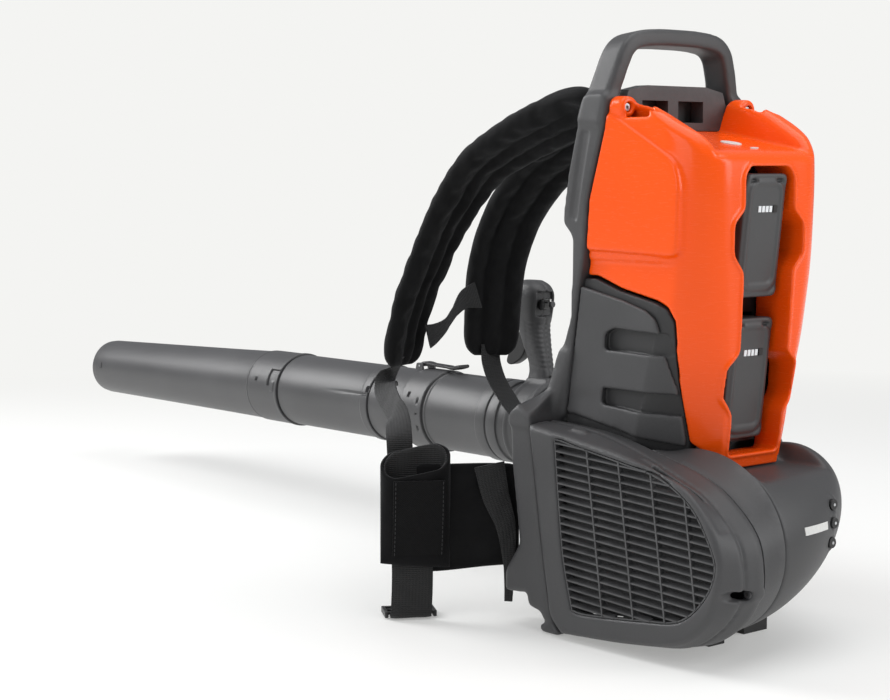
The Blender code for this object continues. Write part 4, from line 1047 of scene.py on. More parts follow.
# ============================================================ intake cover and grille
# D-shaped outlines from the top front, round the rear, to the bottom front, (y, z)
INTAKE_RIDGE = [
    (0.0700, 0.1968), (0.005, 0.189), (-0.052, 0.1815), (-0.095, 0.171), (-0.1260, 0.1605),
    (-0.1480, 0.1410), (-0.1655, 0.1150), (-0.1690, 0.0820), (-0.1555, 0.0465),
    (-0.1200, 0.0215), (-0.060, 0.0110), (0.0245, 0.0045)]
INTAKE_RIM = [
    (0.0700, 0.1988), (0.003, 0.1935), (-0.048, 0.1815), (-0.097, 0.1650), (-0.1330, 0.1500),
    (-0.1670, 0.1190), (-0.1760, 0.0860), (-0.1715, 0.062), (-0.151, 0.036),
    (-0.117, 0.0150), (-0.060, 0.0075), (0.0245, 0.0035)]
INTAKE_BACK = [
    (0.0700, 0.1958), (0.003, 0.1905), (-0.048, 0.1795), (-0.102, 0.1660), (-0.137, 0.1500),
    (-0.1690, 0.1200), (-0.1775, 0.087), (-0.1735, 0.063), (-0.156, 0.038),
    (-0.119, 0.0150), (-0.060, 0.0080), (0.0245, 0.0040)]
OPENING = [
    (0.0345, 0.1860), (0.0270, 0.1865), (0.000, 0.1820), (-0.050, 0.1750), (-0.099, 0.1660),
    (-0.134, 0.1470), (-0.155, 0.120), (-0.164, 0.095), (-0.153, 0.068), (-0.124, 0.043),
    (-0.077, 0.0350), (-0.0100, 0.0280), (0.0100, 0.0290)]
# leaning front edges that close the D, from the bottom
COVER_FRONT = ((0.0393, 0.0190), (0.0438, 0.0411), (0.0524, 0.0862), (0.0634, 0.1573))
OPENING_FRONT = ((0.0220, 0.0750), (0.0290, 0.1300))

CLIP_BUMPS = ((0.0167, 0.1934, 0.13), (-0.0733, 0.1762, 0.22))    # y, z, lean in radians
INTAKE_SCREW = (0, -0.1705, 0.0705)
SLAT_PITCH, SLAT_LEAN, SLAT_HALF = 0.00735, 0.050, 0.00068
BAR_Y = (-0.1358, -0.0979, -0.0593, -0.0203)    # each bar's place at z = 0.10
BAR_LEAN, BAR_HALF = 0.145, 0.0009


def d_outline(points, x, shrink=0.0, n=120, front=COVER_FRONT):
    """A smooth curve over the top, round the rear and under, closed by the front edge."""
    edge = spline([points[-1], *front, points[0]], 30)[1:-1]
    ring = np.concatenate([spline(points, n), edge])
    if shrink:
        along = np.roll(ring, -1, 0) - np.roll(ring, 1, 0)
        normal = np.stack([along[:, 1], -along[:, 0]], 1)
        normal /= np.linalg.norm(normal, axis=1)[:, None] + 1e-12
        if ((ring.mean(0) - ring) * normal).sum(1).mean() < 0:
            normal = -normal
        ring = ring + normal * shrink
    return [(x, y, z) for y, z in ring]


def opening_outline(x, shrink=0.0, n=120):
    return d_outline(OPENING, x, shrink, n, OPENING_FRONT)


def intake_cover():
    grid = Field((-0.1465, -0.1850, -0.0010), (-0.0850, 0.0760, 0.2040),
                 cell_size(0.0014))
    x, y, z = grid.axes
    outer = grid.solid(loft([d_outline(*station) for station in (
        (INTAKE_BACK, -0.0890), (INTAKE_BACK, -0.0960, -0.0006), (INTAKE_RIM, -0.1090),
        (INTAKE_RIM, -0.1180, 0.0004), (INTAKE_RIDGE, -0.1360),
        (INTAKE_RIDGE, -0.1402, 0.0035))]))
    hollow = grid.solid(loft([d_outline(*station) for station in (
        (INTAKE_BACK, -0.0800, 0.0066), (INTAKE_BACK, -0.0890, 0.0066),
        (INTAKE_RIM, -0.1080, 0.0070), (INTAKE_RIDGE, -0.1320, 0.0085))]))
    opening = grid.solid(loft([opening_outline(at) for at in (-0.160, -0.120)]))
    solid = minus(outer, hollow, 0.002)
    solid = minus(solid, opening, 0.0012)
    # thin line all the way round the rim
    line = overlap(slab(x, -0.1125, 0.0011), -(outer + 0.0022))
    solid = minus(solid, line, 0.0006)
    # two clip bumps on the upper edge
    for by, bz, lean in CLIP_BUMPS:
        along = (y - by) * math.cos(lean) + (z - bz) * math.sin(lean)
        bump = overlap(slab(along, 0.0, 0.0095), slab(x, -0.1220, 0.0040), outer - 0.0024,
                       0.1500 - z)
        solid = smin(solid, bump, 0.0020)
    # three-cornered recess on the rear shoulder
    corners = fillet([(-0.1400, 0.1500), (-0.1600, 0.1430), (-0.1600, 0.1240)], 0.002, 2)
    recess = grid.solid(prism_x(corners, -0.1290, -0.1170))
    solid = minus(solid, overlap(recess, -(outer + 0.0030)), 0.0012)
    # screw seat at the lower rear
    _, screw_y, screw_z = INTAKE_SCREW
    r = radial(y - screw_y, z - screw_z)
    solid = smin(solid, overlap(r - 0.0070, slab(x, -0.0965, 0.0085)), 0.0025)
    solid = minus(solid, overlap(r - 0.0048, x + 0.1020), 0.0006)
    solid = grid.rounded(solid, 0.0011, 0.0009)
    grid.piece("intake_cover_shell", solid, "dark", "pack", ("intake_cover",))
    head = rod("X", INTAKE_SCREW, 0.0040, -0.1043, -0.0990)
    soften(make("intake_screw", head, "cell", "pack"), width=0.0006, segments=2)
    socket = rod("X", INTAKE_SCREW, 0.0018, -0.1046, -0.1030, 6)
    make("intake_screw_socket", socket, "rubber", "pack", 30)


def intake_grille():
    """Thin leaning slats, four leaning bars and a rim, with a black sheet behind them that
    paints the shade inside the intake.
    """
    hole = np.array([(y, z) for _, y, z in opening_outline(0.0, 0.0004, 160)])

    def inside(y, z):
        a, b = hole, np.roll(hole, -1, 0)
        crossing_y = (b[:, 0] - a[:, 0]) * (z - a[:, 1]) / (b[:, 1] - a[:, 1] + 1e-12) + a[:, 0]
        crossings = ((a[:, 1] > z) != (b[:, 1] > z)) & (y < crossing_y)
        return bool(crossings.sum() % 2)

    shapes = []
    for k in range(-1, 24):
        z0 = 0.0300 + SLAT_PITCH * k
        ys = [y for y in np.arange(-0.1700, 0.0400, 0.0005)
              if inside(y, z0 + SLAT_LEAN * y + 0.0040)]
        if len(ys) < 8:
            continue
        ends = []
        for y in (ys[0] + 0.0006, ys[-1] - 0.0006):
            z = z0 + SLAT_LEAN * y + 0.0040
            ends.append([(-0.1388, y, z - SLAT_HALF), (-0.1334, y, z - SLAT_HALF + 0.0018),
                         (-0.1334, y, z + SLAT_HALF + 0.0018), (-0.1388, y, z + SLAT_HALF)])
        shapes.append(loft(ends))
    for y0 in BAR_Y:
        zs = [z for z in np.arange(0.0200, 0.1950, 0.0005)
              if inside(y0 + BAR_LEAN * (z - 0.10), z)]
        ends = []
        for z in (zs[0] + 0.0004, zs[-1] - 0.0004):
            y = y0 + BAR_LEAN * (z - 0.10)
            ends.append([(-0.1391, y - BAR_HALF, z), (-0.1391, y + BAR_HALF, z),
                         (-0.1338, y + BAR_HALF, z), (-0.1338, y - BAR_HALF, z)])
        shapes.append(loft(ends))
    rim = ((-0.1384, 0.0002), (-0.1384, 0.0016), (-0.1334, 0.0016), (-0.1334, 0.0002))
    shapes.append(loft([opening_outline(x, shrink, 160) for x, shrink in rim], loop=True))
    make("intake_grille_slats", joined(shapes), "dark", "pack", 30, ("intake_grille",))
    # painted shade: a black sheet behind the slats stands in for the shade inside the intake
    shade_sheet = loft([opening_outline(x, 0.0015, 80) for x in (-0.1290, -0.1282)])
    make("intake_shade_sheet", shade_sheet, "rubber", "pack")


# ============================================================ batteries
BATTERY_HALF_X = 0.0294
BATTERY_FRONT = 0.0100


def battery(tag, z0, z1, y_top, y_bottom):
    """One battery from z0 to z1, its rear face leaning from y_bottom to y_top."""
    body = "battery_" + tag
    grid = Field((-0.0315, -0.1060, z0 - 0.0020), (0.0315, 0.0125, z1 + 0.0020),
                 cell_size(0.0010))
    x, y, z = grid.axes
    zc = (z0 + z1) / 2
    w = BATTERY_HALF_X
    side = [(BATTERY_FRONT, z0), (y_bottom, z0), (y_top, z1), (BATTERY_FRONT, z1)]
    ring = fillet([(-w, z0), (w, z0), (w, z1), (-w, z1)], 0.0085, 6)
    solid = smax(grid.solid(prism_x(side, -w, w)),
                 grid.solid(prism_y(ring, -0.12, BATTERY_FRONT)), 0.006)
    slope = (y_top - y_bottom) / (z1 - z0)
    # depth below the rear face
    face = (y - (y_bottom + slope * (z - z0))) / math.sqrt(1 + slope * slope)

    def panel(half_x, centre_z, half_z, corner):
        return smax(slab(x, 0.0, half_x), slab(z, centre_z, half_z), corner)

    # a fine ditch round the face, a sunk panel and a thin outline standing in it
    ditch = overlap(slab(panel(0.0250, zc, 0.0520, 0.014), 0.0, 0.0006), face - 0.0016)
    solid = minus(solid, ditch, 0.0010)
    sunk = panel(0.0185, zc + 0.001, 0.0440, 0.010)
    solid = minus(solid, overlap(sunk, face - 0.0013), 0.0016)
    ridge = panel(0.0150, zc - 0.014, 0.0250, 0.006)
    solid = smin(solid, overlap(slab(ridge, 0.0, 0.0005), face - 0.0008), 0.0008)
    # slots in the upper corners
    for sx in (-1, 1):
        slot = overlap(slab(x, sx * 0.0175, 0.0038), slab(z, z1 - 0.0080, 0.0013),
                       face - 0.0050)
        solid = minus(solid, slot, 0.0006)
    # hollows in both sides, just in front of the face
    mid_y = y_bottom + slope * (zc - z0)
    for left, right in ((-0.05, -0.0205), (0.0205, 0.05)):
        hollow = box(left, right, mid_y + 0.0150, mid_y + 0.0360, zc - 0.017, zc + 0.017)
        solid = minus(solid, grid.solid(hollow), 0.001)
    solid = grid.rounded(solid, 0.0012, 0.0005)
    grid.piece(body + "_case", solid, "cell", body, (body,), relax=1)

    up = Vector((0, slope, 1)).normalized()
    outward = Vector((0, -1, slope)).normalized()

    def plate(name, at_x, half_x, half_z, deep, thick, finish):
        """A small plate on the face, its front sunk by deep."""
        at_z = zc + 0.0240
        centre = Vector((at_x, y_bottom + slope * (at_z - z0), at_z))
        rings = [[centre + outward * out + Vector((a * half_x, 0, 0)) + up * (b * half_z)
                  for a, b in ((-1, -1), (1, -1), (1, 1), (-1, 1))]
                 for out in (-deep - thick, -deep)]
        make(name, loft(rings), finish, body, 30)

    for k in range(4):
        plate("battery_%s_light_%d" % (tag, k + 1), at_x=-0.0075 + 0.0050 * k, half_x=0.0017,
              half_z=0.0028, deep=0.0006, thick=0.0012, finish="led")
    plate("battery_%s_button" % tag, at_x=0.0135, half_x=0.0026, half_z=0.0032, deep=0.0002,
          thick=0.0016, finish="rubber")


# ============================================================ blow tube line
BELLOWS_START, BELLOWS_PITCH = 0.1006, 0.0110
R = TUBE_R

# profiles, (y, radius)
CONTROL_OUTER = [
    (0.2996, R + 0.0030), (0.3060, R + 0.0030), (0.3072, R), (0.3722, R),
    (0.3728, R + 0.0022), (0.3880, R + 0.0022), (0.3886, R + 0.0004), (0.3904, R + 0.0004),
    (0.3910, R + 0.0022), (0.4070, R + 0.0022), (0.4082, R), (0.4975, R),
    (0.4985, R + 0.0012), (0.5010, R + 0.0012), (0.5018, R - 0.0008), (0.5034, R - 0.0008),
    (0.5040, R + 0.0032), (0.5440, R + 0.0032), (0.5455, R), (0.6080, R),
    (0.6085, 0.0430), (0.6370, 0.0430)]
CONTROL_INNER = [
    (0.2996, TUBE_INNER_R), (0.5940, TUBE_INNER_R), (0.5990, 0.0405), (0.6370, 0.0405)]
FRONT_OUTER = [
    (0.6093, R + 0.0018), (0.6215, R + 0.0018), (0.6240, R), (0.7970, R),
    (0.7992, R - 0.0012), (0.7992, 0.0430), (0.8250, 0.0430)]
FRONT_INNER = [
    (0.6093, TUBE_INNER_R), (0.7850, TUBE_INNER_R), (0.7900, 0.0405), (0.8250, 0.0405)]
NOZZLE_OUTER = [
    (0.8000, R + 0.0020), (0.8040, R + 0.0020), (0.8050, R + 0.0012), (0.8640, R + 0.0010),
    (0.8650, R + 0.0004), (0.8664, R + 0.0004), (0.8672, R + 0.0010), (0.8700, R - 0.0004),
    (0.9600, R - 0.0022), (1.2760, 0.0388), (1.2770, 0.0381), (1.2850, 0.0378),
    (1.2852, 0.0352)]
NOZZLE_INNER = [
    (0.8000, TUBE_INNER_R + 0.0004), (0.8650, TUBE_INNER_R), (0.8850, TUBE_INNER_R - 0.002),
    (1.2852, 0.0351)]

# lock lever stations: y, z, half-width, half-thickness
LEVER = (
    (0.4785, 0.1990, 0.0070, 0.0012), (0.4800, 0.1990, 0.0076, 0.0022),
    (0.4870, 0.1975, 0.0076, 0.0026), (0.4930, 0.1958, 0.0068, 0.0020),
    (0.5000, 0.1956, 0.0060, 0.0016), (0.5060, 0.1964, 0.0060, 0.0016),
    (0.5360, 0.1972, 0.0062, 0.0016), (0.5440, 0.1978, 0.0066, 0.0022),
    (0.5500, 0.1974, 0.0066, 0.0026), (0.5560, 0.1962, 0.0060, 0.0016))
LOCK_LUG = [(0.5440, 0.1905), (0.5580, 0.1905), (0.5560, 0.1985), (0.5470, 0.1992)]    # y, z

# where each flexible joint starts and ends
REAR_BEND = dict(start=(TUBE_X, 0.148, TUBE_Z), end=(TUBE_X, 0.176, TUBE_Z))
FRONT_BEND = dict(start=(TUBE_X, 0.222, TUBE_Z), end=(TUBE_X, 0.250, TUBE_Z))
HANDLE_BEND = dict(start=(TUBE_X, 0.292, TUBE_Z), end=(TUBE_X, 0.320, TUBE_Z))


def smooth(t):
    t = np.clip(t, 0, 1)
    return t * t * (3 - 2 * t)


def patch(y, angle, y_span, angle_span, deep, soft=0.0009):
    """Depth of a patch pressed in between two lengths and two angles in degrees."""
    (y0, y1), (a0, a1) = y_span, angle_span
    arc = TUBE_R * math.pi / 180
    along = smooth((y - y0) / soft) * smooth((y1 - y) / soft)
    around = smooth((angle - a0) * arc / soft) * smooth((a1 - angle) * arc / soft)
    return deep * along * around


def press_control(y, angle):
    """Small pits on the left by the joint and a long raised strip on top."""
    joint = (0.5095, 0.5135)
    sink = patch(y, angle, joint, (158, 166), 0.0022)
    sink = sink + patch(y, angle, (0.5280, 0.5330), (150, 158), 0.0022)
    sink = sink + patch(y, angle, joint, (178, 186), 0.0022)
    sink = sink + patch(y, np.mod(angle, 360), joint, (196, 204), 0.0022)
    return sink - patch(y, angle, (0.4150, 0.5000), (86.5, 93.5), 0.0016, soft=0.0014)


def press_front(y, angle):
    sink = patch(y, angle, (0.6090, 0.6150), (150, 160), 0.0030)
    return sink + patch(y, angle, (0.6110, 0.6320), (160, 165), 0.0020)


def press_nozzle(y, angle):
    """An L-shaped bayonet slot, a small hole and a raised patch."""
    sink = patch(y, angle, (0.8000, 0.8225), (143, 150), 0.0026)
    sink = np.maximum(sink, patch(y, angle, (0.8170, 0.8225), (143, 172), 0.0026))
    sink = np.maximum(sink, patch(y, angle, (0.8450, 0.8500), (160, 166.5), 0.0024))
    return sink - patch(y, angle, (0.8060, 0.8130), (163, 180), 0.0012)


def nozzle_droop(y):
    return 0.0070 * np.clip((y - 0.8700) / 0.4150, 0, 1)


def skin_tube(name, outer, inner, body, replaces, n, press, press_span, droop=None,
              corner=0.0010):
    """A tube from two profiles of (y, radius), each starting at the rear.

    press(y, angle) sinks the outer skin, which is finely cut within press_span.
    """
    profile = fillet(outer + inner[::-1], corner, 3)
    start, end = press_span
    dense = []
    for (y0, r0), (y1, r1) in zip(profile, profile[1:] + profile[:1]):
        dense.append((y0, r0))
        far = math.hypot(y1 - y0, r1 - r0)
        pressed = min(r0, r1) > 0.0440 and max(y0, y1) < end and min(y0, y1) > start
        cuts = int(far / (0.0011 if pressed else 0.03))
        for k in range(1, cuts):
            dense.append((y0 + (y1 - y0) * k / cuts, r0 + (r1 - r0) * k / cuts))
    verts, faces = turned(dense, n)
    verts = np.array(verts, float)
    y = verts[:, 1]
    dx, dz = verts[:, 0] - TUBE_X, verts[:, 2] - TUBE_Z
    r, angle = np.hypot(dx, dz), np.degrees(np.arctan2(dz, dx))
    scale = (r - np.where(r > 0.0450, press(y, angle), 0.0)) / r
    verts[:, 0], verts[:, 2] = TUBE_X + dx * scale, TUBE_Z + dz * scale
    if droop:
        verts[:, 2] -= droop(y)
    make(name, (verts.tolist(), faces), "tube", body, 35, replaces)


def bellows(name, y0, y1, replaces):
    """A corrugated hose, its inner skin sampled at every third step of the outer."""
    count = int(round((y1 - y0) / 0.00092))

    def point(i, base, height):
        y = y0 + (y1 - y0) * i / count
        wave = 0.5 - 0.5 * math.cos(2 * math.pi * (y - BELLOWS_START) / BELLOWS_PITCH)
        return y, base + height * wave ** 0.7

    profile = [point(i, 0.0448, 0.0042) for i in range(count + 1)]
    profile += [point(i, 0.0422, 0.0030) for i in range(count, -1, -3)]
    obj = make(name, turned(profile, 112), "hose", None, 60, replaces)
    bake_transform(obj)


def nozzle_stop():
    """Small raised stop on the left of the nozzle, near its tip."""
    def point(y, degrees, out):
        r = np.interp(y, [0.87, 0.96, 1.2760], [R - 0.0004, R - 0.0022, 0.0388]) + out
        angle = math.radians(degrees)
        return (TUBE_X + r * math.cos(angle), y,
                TUBE_Z + r * math.sin(angle) - float(nozzle_droop(y)))

    degrees = (166, 170, 174, 178)
    rings = []
    for y, out in ((1.2560, -0.0010), (1.2570, 0.0012), (1.2650, 0.0016), (1.2662, -0.0010)):
        rings.append([point(y, a, out) for a in degrees]
                     + [point(y, a, -0.0016) for a in reversed(degrees)])
    soften(make("nozzle_stop", loft(rings), "tube", "nozzle", 30), width=0.0004, segments=2)


def tube_lock():
    """Lever lying over the joint ring, pinned between two lugs at its front."""
    section = fillet([(-1, -1), (1, -1), (1, 1), (-1, 1)], 0.35, 3)
    rings = [[(TUBE_X + a * w, y, z + b * t) for a, b in section] for y, z, w, t in LEVER]
    make("lock_lever_arm", loft(rings), "black", "tube_lock", 50, ("tube_lock_lever",))
    for sx, side in ((-1, "left"), (1, "right")):
        x = TUBE_X + sx * 0.0092
        lug = prism_x(fillet(LOCK_LUG, 0.0020, 3), x - 0.0015, x + 0.0015)
        soften(make("lock_lug_" + side, lug, "tube", "tube", 30), width=0.0005, segments=2)
    pin = rod("X", (0, 0.5500, 0.1952), 0.0012, TUBE_X - 0.0115, TUBE_X + 0.0115, 20)
    soften(make("lock_pin", pin, "steel", "tube", 30), width=0.0003, segments=2)


def tube_line():
    bellows("hose_bellows_rear", BELLOWS_START, 0.2000,
            ("hose_root",))
    bellows("hose_bellows_front", 0.2004, 0.2990,
            ("hose_mid", "hose_front"))
    skin_tube("control_tube_shell", CONTROL_OUTER, CONTROL_INNER, "tube", ("control_tube",),
              n=200, press=press_control, press_span=(0.4100, 0.5440))
    skin_tube("front_tube_shell", FRONT_OUTER, FRONT_INNER, "front_tube", ("front_tube",),
              n=200, press=press_front, press_span=(0.6093, 0.6400))
    skin_tube("nozzle_shell", NOZZLE_OUTER, NOZZLE_INNER, "nozzle", ("nozzle",),
              n=240, press=press_nozzle, press_span=(0.8000, 0.8640), droop=nozzle_droop,
              corner=0.0008)
    nozzle_stop()
    tube_lock()


# ============================================================ control handle
CLAMP_Y = 0.3370
GRIP = [          # z, centre y, half-depth in y, half-width in x
    (0.1950, 0.3450, 0.0160, 0.0140), (0.2050, 0.3450, 0.0140, 0.0122),
    (0.2180, 0.3475, 0.0138, 0.0124), (0.2350, 0.3530, 0.0156, 0.0142),
    (0.2550, 0.3580, 0.0180, 0.0160), (0.2700, 0.3600, 0.0225, 0.0182),
    (0.2820, 0.3605, 0.0245, 0.0192), (0.2930, 0.3605, 0.0245, 0.0192),
    (0.3020, 0.3620, 0.0205, 0.0165), (0.3075, 0.3640, 0.0130, 0.0105)]
TRIGGER = [       # side view, (y, z)
    (0.3640, 0.2540), (0.3730, 0.2545), (0.3790, 0.2450), (0.3865, 0.2320), (0.3945, 0.2230),
    (0.3985, 0.2130), (0.3940, 0.2090), (0.3850, 0.2110), (0.3720, 0.2200), (0.3650, 0.2360)]


def handle_clamp():
    grid = Field((0.0840, 0.3120, 0.0870), (0.1960, 0.3620, 0.2020), cell_size(0.0013))
    x, y, z = grid.axes
    r = radial(x - TUBE_X, z - TUBE_Z)
    solid = overlap(r - 0.0514, slab(y, CLAMP_Y, 0.0195))
    # a raised band at each end and a block on top
    for band_y in (CLAMP_Y - 0.0150, CLAMP_Y + 0.0150):
        solid = smin(solid, overlap(r - 0.0526, slab(y, band_y, 0.0030)), 0.002)
    block = overlap(slab(x, TUBE_X, 0.0150), slab(y, 0.3380, 0.0170), slab(z, 0.1940, 0.0042))
    solid = smin(solid, block, 0.006)
    solid = minus(solid, r - 0.0464)
    solid = grid.rounded(solid, 0.0010, 0.0010)
    grid.piece("handle_clamp_ring", solid, "dark", "handle", ("handle_clamp",), relax=1)


def grip():
    grid = Field((0.1155, 0.3080, 0.1950), (0.1645, 0.3960, 0.3130),
                 cell_size(0.00095))
    x, y, z = grid.axes
    rings = []
    for ring_z, cy, half_y, half_x in spline(GRIP, 60):
        ring = []
        for k in range(48):
            angle = 2 * math.pi * k / 48
            c, s = math.cos(angle), math.sin(angle)
            ring.append((TUBE_X + half_x * math.copysign(abs(c) ** 0.72, c),
                         cy + half_y * math.copysign(abs(s) ** 0.72, s), ring_z))
        rings.append(ring)
    solid = grid.solid(loft(rings))
    # switch panel sunk in the rear of the head, and the trigger's slot
    panel = smax(slab(x, TUBE_X, 0.0118), slab(z, 0.2815, 0.0135), 0.004)
    solid = minus(solid, overlap(panel, y - 0.3440), 0.0012)
    slot = box(TUBE_X - 0.0075, TUBE_X + 0.0075, 0.3600, 0.3980, 0.2080, 0.2560)
    solid = minus(solid, grid.solid(slot), 0.0010)
    # parting line of the two halves
    line = overlap(slab(x, TUBE_X, 0.0004), -(solid + 0.0007))
    solid = minus(solid, line, 0.0005)
    # grip grooves cut round the rear of the stem
    for groove_z in np.arange(0.2130, 0.2620, 0.0052).tolist():
        groove = overlap(np.abs(z - groove_z - 0.25 * (y - 0.350)) - 0.0006,
                         -(solid + 0.0006), y - 0.3560)
        solid = minus(solid, groove, 0.0006)
    solid = grid.rounded(solid, out=0.0009)
    grid.piece("grip_shell", solid, "dark", "handle", ("grip",), relax=1)


def controls():
    """Trigger blade, cruise knob with a thumb tab and a pale mark, power button."""
    outline = [tuple(p) for p in spline(TRIGGER, 60, closed=True)]
    blade = prism_x(outline, TUBE_X - 0.0064, TUBE_X + 0.0064)
    soften(make("trigger_blade", blade, "black", "trigger", 45, ("trigger",)),
           width=0.0016, segments=4, angle=50)
    knob = rod("X", (0, 0.3380, 0.2810), 0.0061, TUBE_X - 0.0090, TUBE_X - 0.0013, 40)
    soften(make("cruise_knob", knob, "black", "cruise_lever", 40, ("cruise_lever",)), 0.0008)
    tab = box(TUBE_X - 0.0084, TUBE_X - 0.0018, 0.3262, 0.3375, 0.2846, 0.2882)
    soften(make("cruise_tab", tab, "black", "cruise_lever", 30), 0.0009)
    mark = box(TUBE_X - 0.0060, TUBE_X - 0.0042, 0.3258, 0.3266, 0.2850, 0.2878)
    make("cruise_mark", mark, "label", "cruise_lever", 30)
    button = rod("Y", (TUBE_X + 0.0050, 0, 0.2810), 0.0036, 0.3322, 0.3425, 40)
    soften(make("power_button_cap", button, "tube", "power_button", 40, ("power_button",)),
           0.0007)


CABLE_Z = 0.1986      # the cable's centre along the top of the tube


def cord(name, points, n, rear_body, front_body, bend, replaces=()):
    """A finely ribbed cord: its radius alternates from ring to ring."""
    path, across, out = frames(spline(points, n), (0, 0, 1))
    rings = []
    for i in range(n):
        r = 0.0034 + 0.00022 * math.cos(i * math.pi)
        rings.append([tuple(path[i] + across[i] * r * math.cos(2 * math.pi * k / 16)
                            + out[i] * r * math.sin(2 * math.pi * k / 16)) for k in range(16)])
    obj = make(name, loft(rings), "rubber", None, 70, replaces)
    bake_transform(obj)


def cable():
    rear = [(0.083, 0.088, 0.178), (0.0920, 0.100, 0.1890), (0.1150, 0.118, 0.1960),
            (0.1330, 0.1350, CABLE_Z)]
    rear += [(TUBE_X, y, CABLE_Z) for y in (0.1560, 0.180, 0.2000)]
    cord("cable_rear", rear, 120, "pack", "hose_middle", REAR_BEND, ("control_cable",))
    middle = [(TUBE_X, y, CABLE_Z) for y in (0.2004, 0.235, 0.265, 0.2900)]
    cord("cable_middle", middle, 90, "hose_middle", "tube", FRONT_BEND,
         ("control_cable_front",))
    front = [(TUBE_X, y, CABLE_Z + rise) for y, rise in (
        (0.2904, 0.0), (0.3000, 0.0006), (0.3120, 0.0010), (0.3290, -0.0006))]
    cord("cable_front", front, 44, "tube", "handle", HANDLE_BEND)


# ============================================================ harness: pads, bands, stitches
PADS = []             # (object, replaced nodes, greatest thickness), until they are filled


def cloth_object(name, shape, lays):
    """A mesh that carries its (along, across) lengths in the attribute "lay"."""
    obj = new_object(name, *shape, recalc=True, outward=True)
    lays = np.array(lays)
    values = np.stack([lays[:, 0], lays[:, 1], np.zeros(len(lays))], 1).astype(np.float32)
    obj.data.attributes.new("lay", "FLOAT_VECTOR", "POINT").data.foreach_set(
        "vector", values.ravel())
    return obj


def pad(name, points, across, width, thick, replaces, seams, step=0.0062, columns=14,
        taper=0.026, end_width=0.62):
    """A quilted pad along a path: two cloth faces sewn at the edges and along the seams.

    Width and thickness are spread along the path, seams lie at shares of the
    half-width, taper is the length of the rounded ends, and end_width is the
    share of the width left at the very end.
    """
    edge = 0.0030         # half-thickness at the long edges
    length = spline_length(points)
    n = int(length / step) + 1
    path, side, out = frames(spline(points, n), across)
    wide, deep = spread(width, n), spread(thick, n)
    cols = np.linspace(-1, 1, columns + 1)
    for seam in seams:
        cols[np.argmin(np.abs(cols - seam))] = seam
    marks = np.array([-1.0, *seams, 1.0])
    along = np.linspace(0, 1, n) * length
    near = np.clip(np.minimum(along, length - along) / taper, 0, 1)
    end = np.sqrt(1 - (1 - near) ** 2)
    rings, lays, pins = [], [], []
    for i in range(n):
        top, bottom, lay, pin = [], [], [], []
        w = wide[i] / 2 * (end_width + (1 - end_width) * end[i])
        for v in cols:
            k = np.searchsorted(marks, v, side="right") - 1
            k = min(max(k, 0), len(marks) - 2)
            u = (v - marks[k]) / (marks[k + 1] - marks[k])
            crown = math.sqrt(max(0.0, 4 * u * (1 - u)))
            on_seam = min(abs(v - mark) for mark in marks) < 1e-6
            base = edge if abs(v) > 0.999 else 0.30 * deep[i] / 2
            h = (base + (deep[i] / 2 - base) * crown * 0.86) * (0.30 + 0.70 * end[i])
            uneven = 0.0
            if not on_seam:
                uneven = 0.0005 * noise.noise(Vector((i * 0.9, v * 7.0, len(PADS) * 3.1)))
            centre = path[i] + side[i] * v * w
            top.append(tuple(centre + out[i] * (h + uneven)))
            bottom.append(tuple(centre - out[i] * (h + uneven)))
            lay.append((along[i], v * w))
            pin.append(1.0 if on_seam or i in (0, n - 1) else 0.0)
        rings.append(top + bottom[::-1])
        lays += lay + [(a, b + 0.2) for a, b in lay[::-1]]
        pins += pin + pin[::-1]
    verts, faces = loft(rings, caps=False)
    # each end is closed by a row of quads from face to face
    around = len(rings[0])
    for i in (0, n - 1):
        first, last = i * around, i * around + around - 1
        for j in range(columns):
            face = (first + j, first + j + 1, last - 1 - j, last - j)
            faces.append(face if i else face[::-1])
    obj = cloth_object(name, (verts, faces), lays)
    group = obj.vertex_groups.new(name="sewn")
    for i, weight in enumerate(pins):
        if weight:
            group.add([i], weight, "REPLACE")
    PADS.append((obj, replaces, float(max(thick))))


def coordinates(mesh):
    values = np.empty(len(mesh.vertices) * 3, np.float32)
    mesh.vertices.foreach_get("co", values)
    return values.reshape(-1, 3)


def fill_pads():
    """Every pad's cloth is blown out a little between its seams, all in one run."""
    for obj, _, _ in PADS:
        cloth = obj.modifiers.new("cloth", "CLOTH")
        settings = cloth.settings
        settings.quality = 6
        settings.mass = 0.25
        settings.tension_stiffness = 12
        settings.compression_stiffness = 12
        settings.shear_stiffness = 4
        settings.bending_stiffness = 1.2
        settings.use_pressure = True
        settings.uniform_pressure_force = 4.0
        settings.shrink_min = -0.028      # below zero, so the cloth grows
        settings.vertex_group_mass = "sewn"
        settings.pin_stiffness = 5.0
        settings.effector_weights.gravity = 0.0
        cloth.point_cache.frame_start = 1
        cloth.point_cache.frame_end = 20
    for frame_number in range(1, (20) + 1):
        SCENE.frame_set(frame_number)
    depsgraph = bpy.context.evaluated_depsgraph_get()
    filled = []
    for obj, _, thickest in PADS:
        rest = coordinates(obj.data)
        move = coordinates(obj.evaluated_get(depsgraph).data) - rest
        far = np.linalg.norm(move, axis=1)
        move *= (np.minimum(far, 0.30 * thickest) / np.maximum(far, 1e-9))[:, None]
        filled.append(rest + move)
    for (obj, replaces, _), points in zip(PADS, filled):
        obj.modifiers.clear()
        obj.data.vertices.foreach_set("co", points.ravel())
        obj.data.update()
        fine = obj.modifiers.new("fine", "SUBSURF")
        fine.levels = fine.render_levels = 1
        dress(obj, "fabric", "pack", None, replaces)
    SCENE.frame_set(1)


